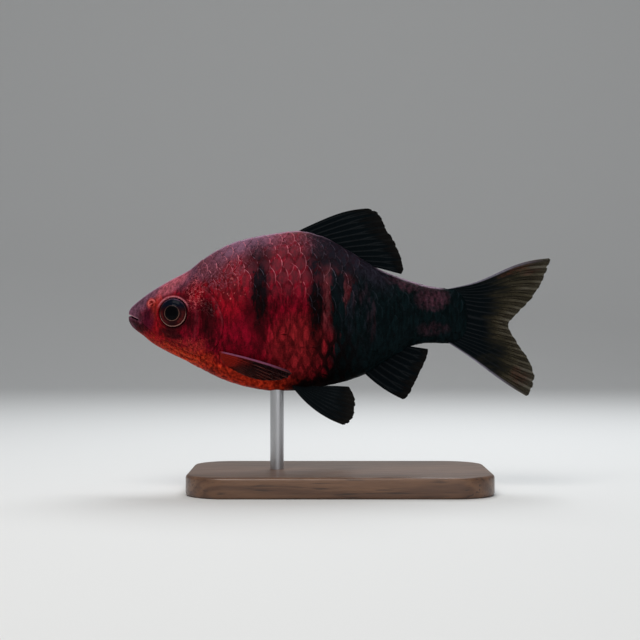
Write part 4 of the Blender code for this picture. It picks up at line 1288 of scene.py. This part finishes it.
def rod():
    """The stand's rod, from inside the base to inside the belly."""
    low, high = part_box("stand_rod")
    middle = (low + high) / 2
    radius = (high.x - low.x) / 2
    levels = (low.z - 0.8 * MM, low.z, high.z - 0.2 * MM, high.z + 0.5 * MM)
    steps = 48
    turns = np.linspace(0, 2 * math.pi, steps, endpoint=False)
    ring = np.stack([middle.x + radius * np.cos(turns), middle.y + radius * np.sin(turns)], -1)
    points = np.concatenate([np.column_stack([ring, np.full(steps, level)]) for level in levels])
    cap = np.arange(steps)[None]
    tube = grid_faces(len(levels), steps, closed=True)[:, ::-1]
    faces = [tube, cap[:, ::-1], cap + (len(levels) - 1) * steps]
    made = mesh_object("stand_steel_rod", points, faces, brushed_steel())
    made.data.set_sharp_from_angle(angle=math.radians(40))
    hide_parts("stand_rod")
    return made


def studio():
    """A pale floor that curves up behind, soft lamps and the photograph's camera."""
    paint = Paint("studio_floor", {"Roughness": 0.9})
    paint.colour = (0.74, 0.74, 0.73, 1)
    bend = np.linspace(0, math.pi / 2, 24)
    flat = np.linspace(FLOOR_FRONT, FLOOR_BEND, 12)
    depth = np.concatenate([flat, FLOOR_BEND + BEND_RADIUS * np.sin(bend), [FLOOR_BEND + BEND_RADIUS]])
    height = np.concatenate([np.zeros_like(flat), BEND_RADIUS * (1 - np.cos(bend)), [WALL_TOP]])
    ends = (-FLOOR_HALF_WIDTH, FLOOR_HALF_WIDTH)
    points = np.array([(end, d, h) for d, h in zip(depth, height) for end in ends]) * MM
    floor = mesh_object("studio_sweep", points, [grid_faces(len(depth), 2)[:, ::-1]], paint.finished())
    scene = bpy.context.scene
    scene.world = bpy.data.worlds.new("studio")
    scene.world.use_nodes = True
    background = scene.world.node_tree.nodes["Background"]
    background.inputs["Color"].default_value = (0.93, 0.96, 1.0, 1)
    background.inputs["Strength"].default_value = 0.30
    target = Vector(placed(LAMP_TARGET))
    for name, place, size, power, tint in LAMPS:
        data = bpy.data.lights.new(name, "AREA")
        data.size = size * MM
        data.energy = power
        data.color = tint
        lamp = linked(name, data)
        lamp.location = target + Vector(place) * MM
        lamp.rotation_euler = (target - lamp.location).to_track_quat("-Z", "Y").to_euler()
    scene.view_settings.view_transform = "Standard"
    data = bpy.data.cameras.new("photo_camera")
    data.lens = CAMERA_LENS
    data.sensor_width = 36
    data.clip_start = 0.001
    camera = linked("photo_camera", data)
    camera.location = Vector(placed(CAMERA_AIM)) + Vector((0, -CAMERA_DISTANCE, 0)) * MM
    camera.rotation_euler = (math.radians(90), 0, 0)
    scene.camera = camera


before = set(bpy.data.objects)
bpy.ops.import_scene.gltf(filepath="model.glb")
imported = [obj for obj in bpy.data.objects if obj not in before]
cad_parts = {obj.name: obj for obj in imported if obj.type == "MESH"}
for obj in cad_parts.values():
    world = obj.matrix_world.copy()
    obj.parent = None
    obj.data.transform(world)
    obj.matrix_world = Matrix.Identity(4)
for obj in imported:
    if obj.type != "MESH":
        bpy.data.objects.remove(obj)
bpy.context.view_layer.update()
pieces = [skin(*skin_grid())]
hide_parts("head", "gill_cover_left", "gill_cover_right", "trunk", "tail_stem")
at, reach = flank_lookup()
roots = scale_roots(reach)
scale_look, eye_look = scale_material(), eye_material()
for word, side in SIDES:
    coat = scales(f"scales_{word}", side, at, roots, scale_look)
    pieces.append(coat)
pieces += [eye(word, side, eye_look) for word, side in SIDES]
pieces += [*fins(), board(), rod()]
for piece in pieces:
    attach(piece, "root")
studio()
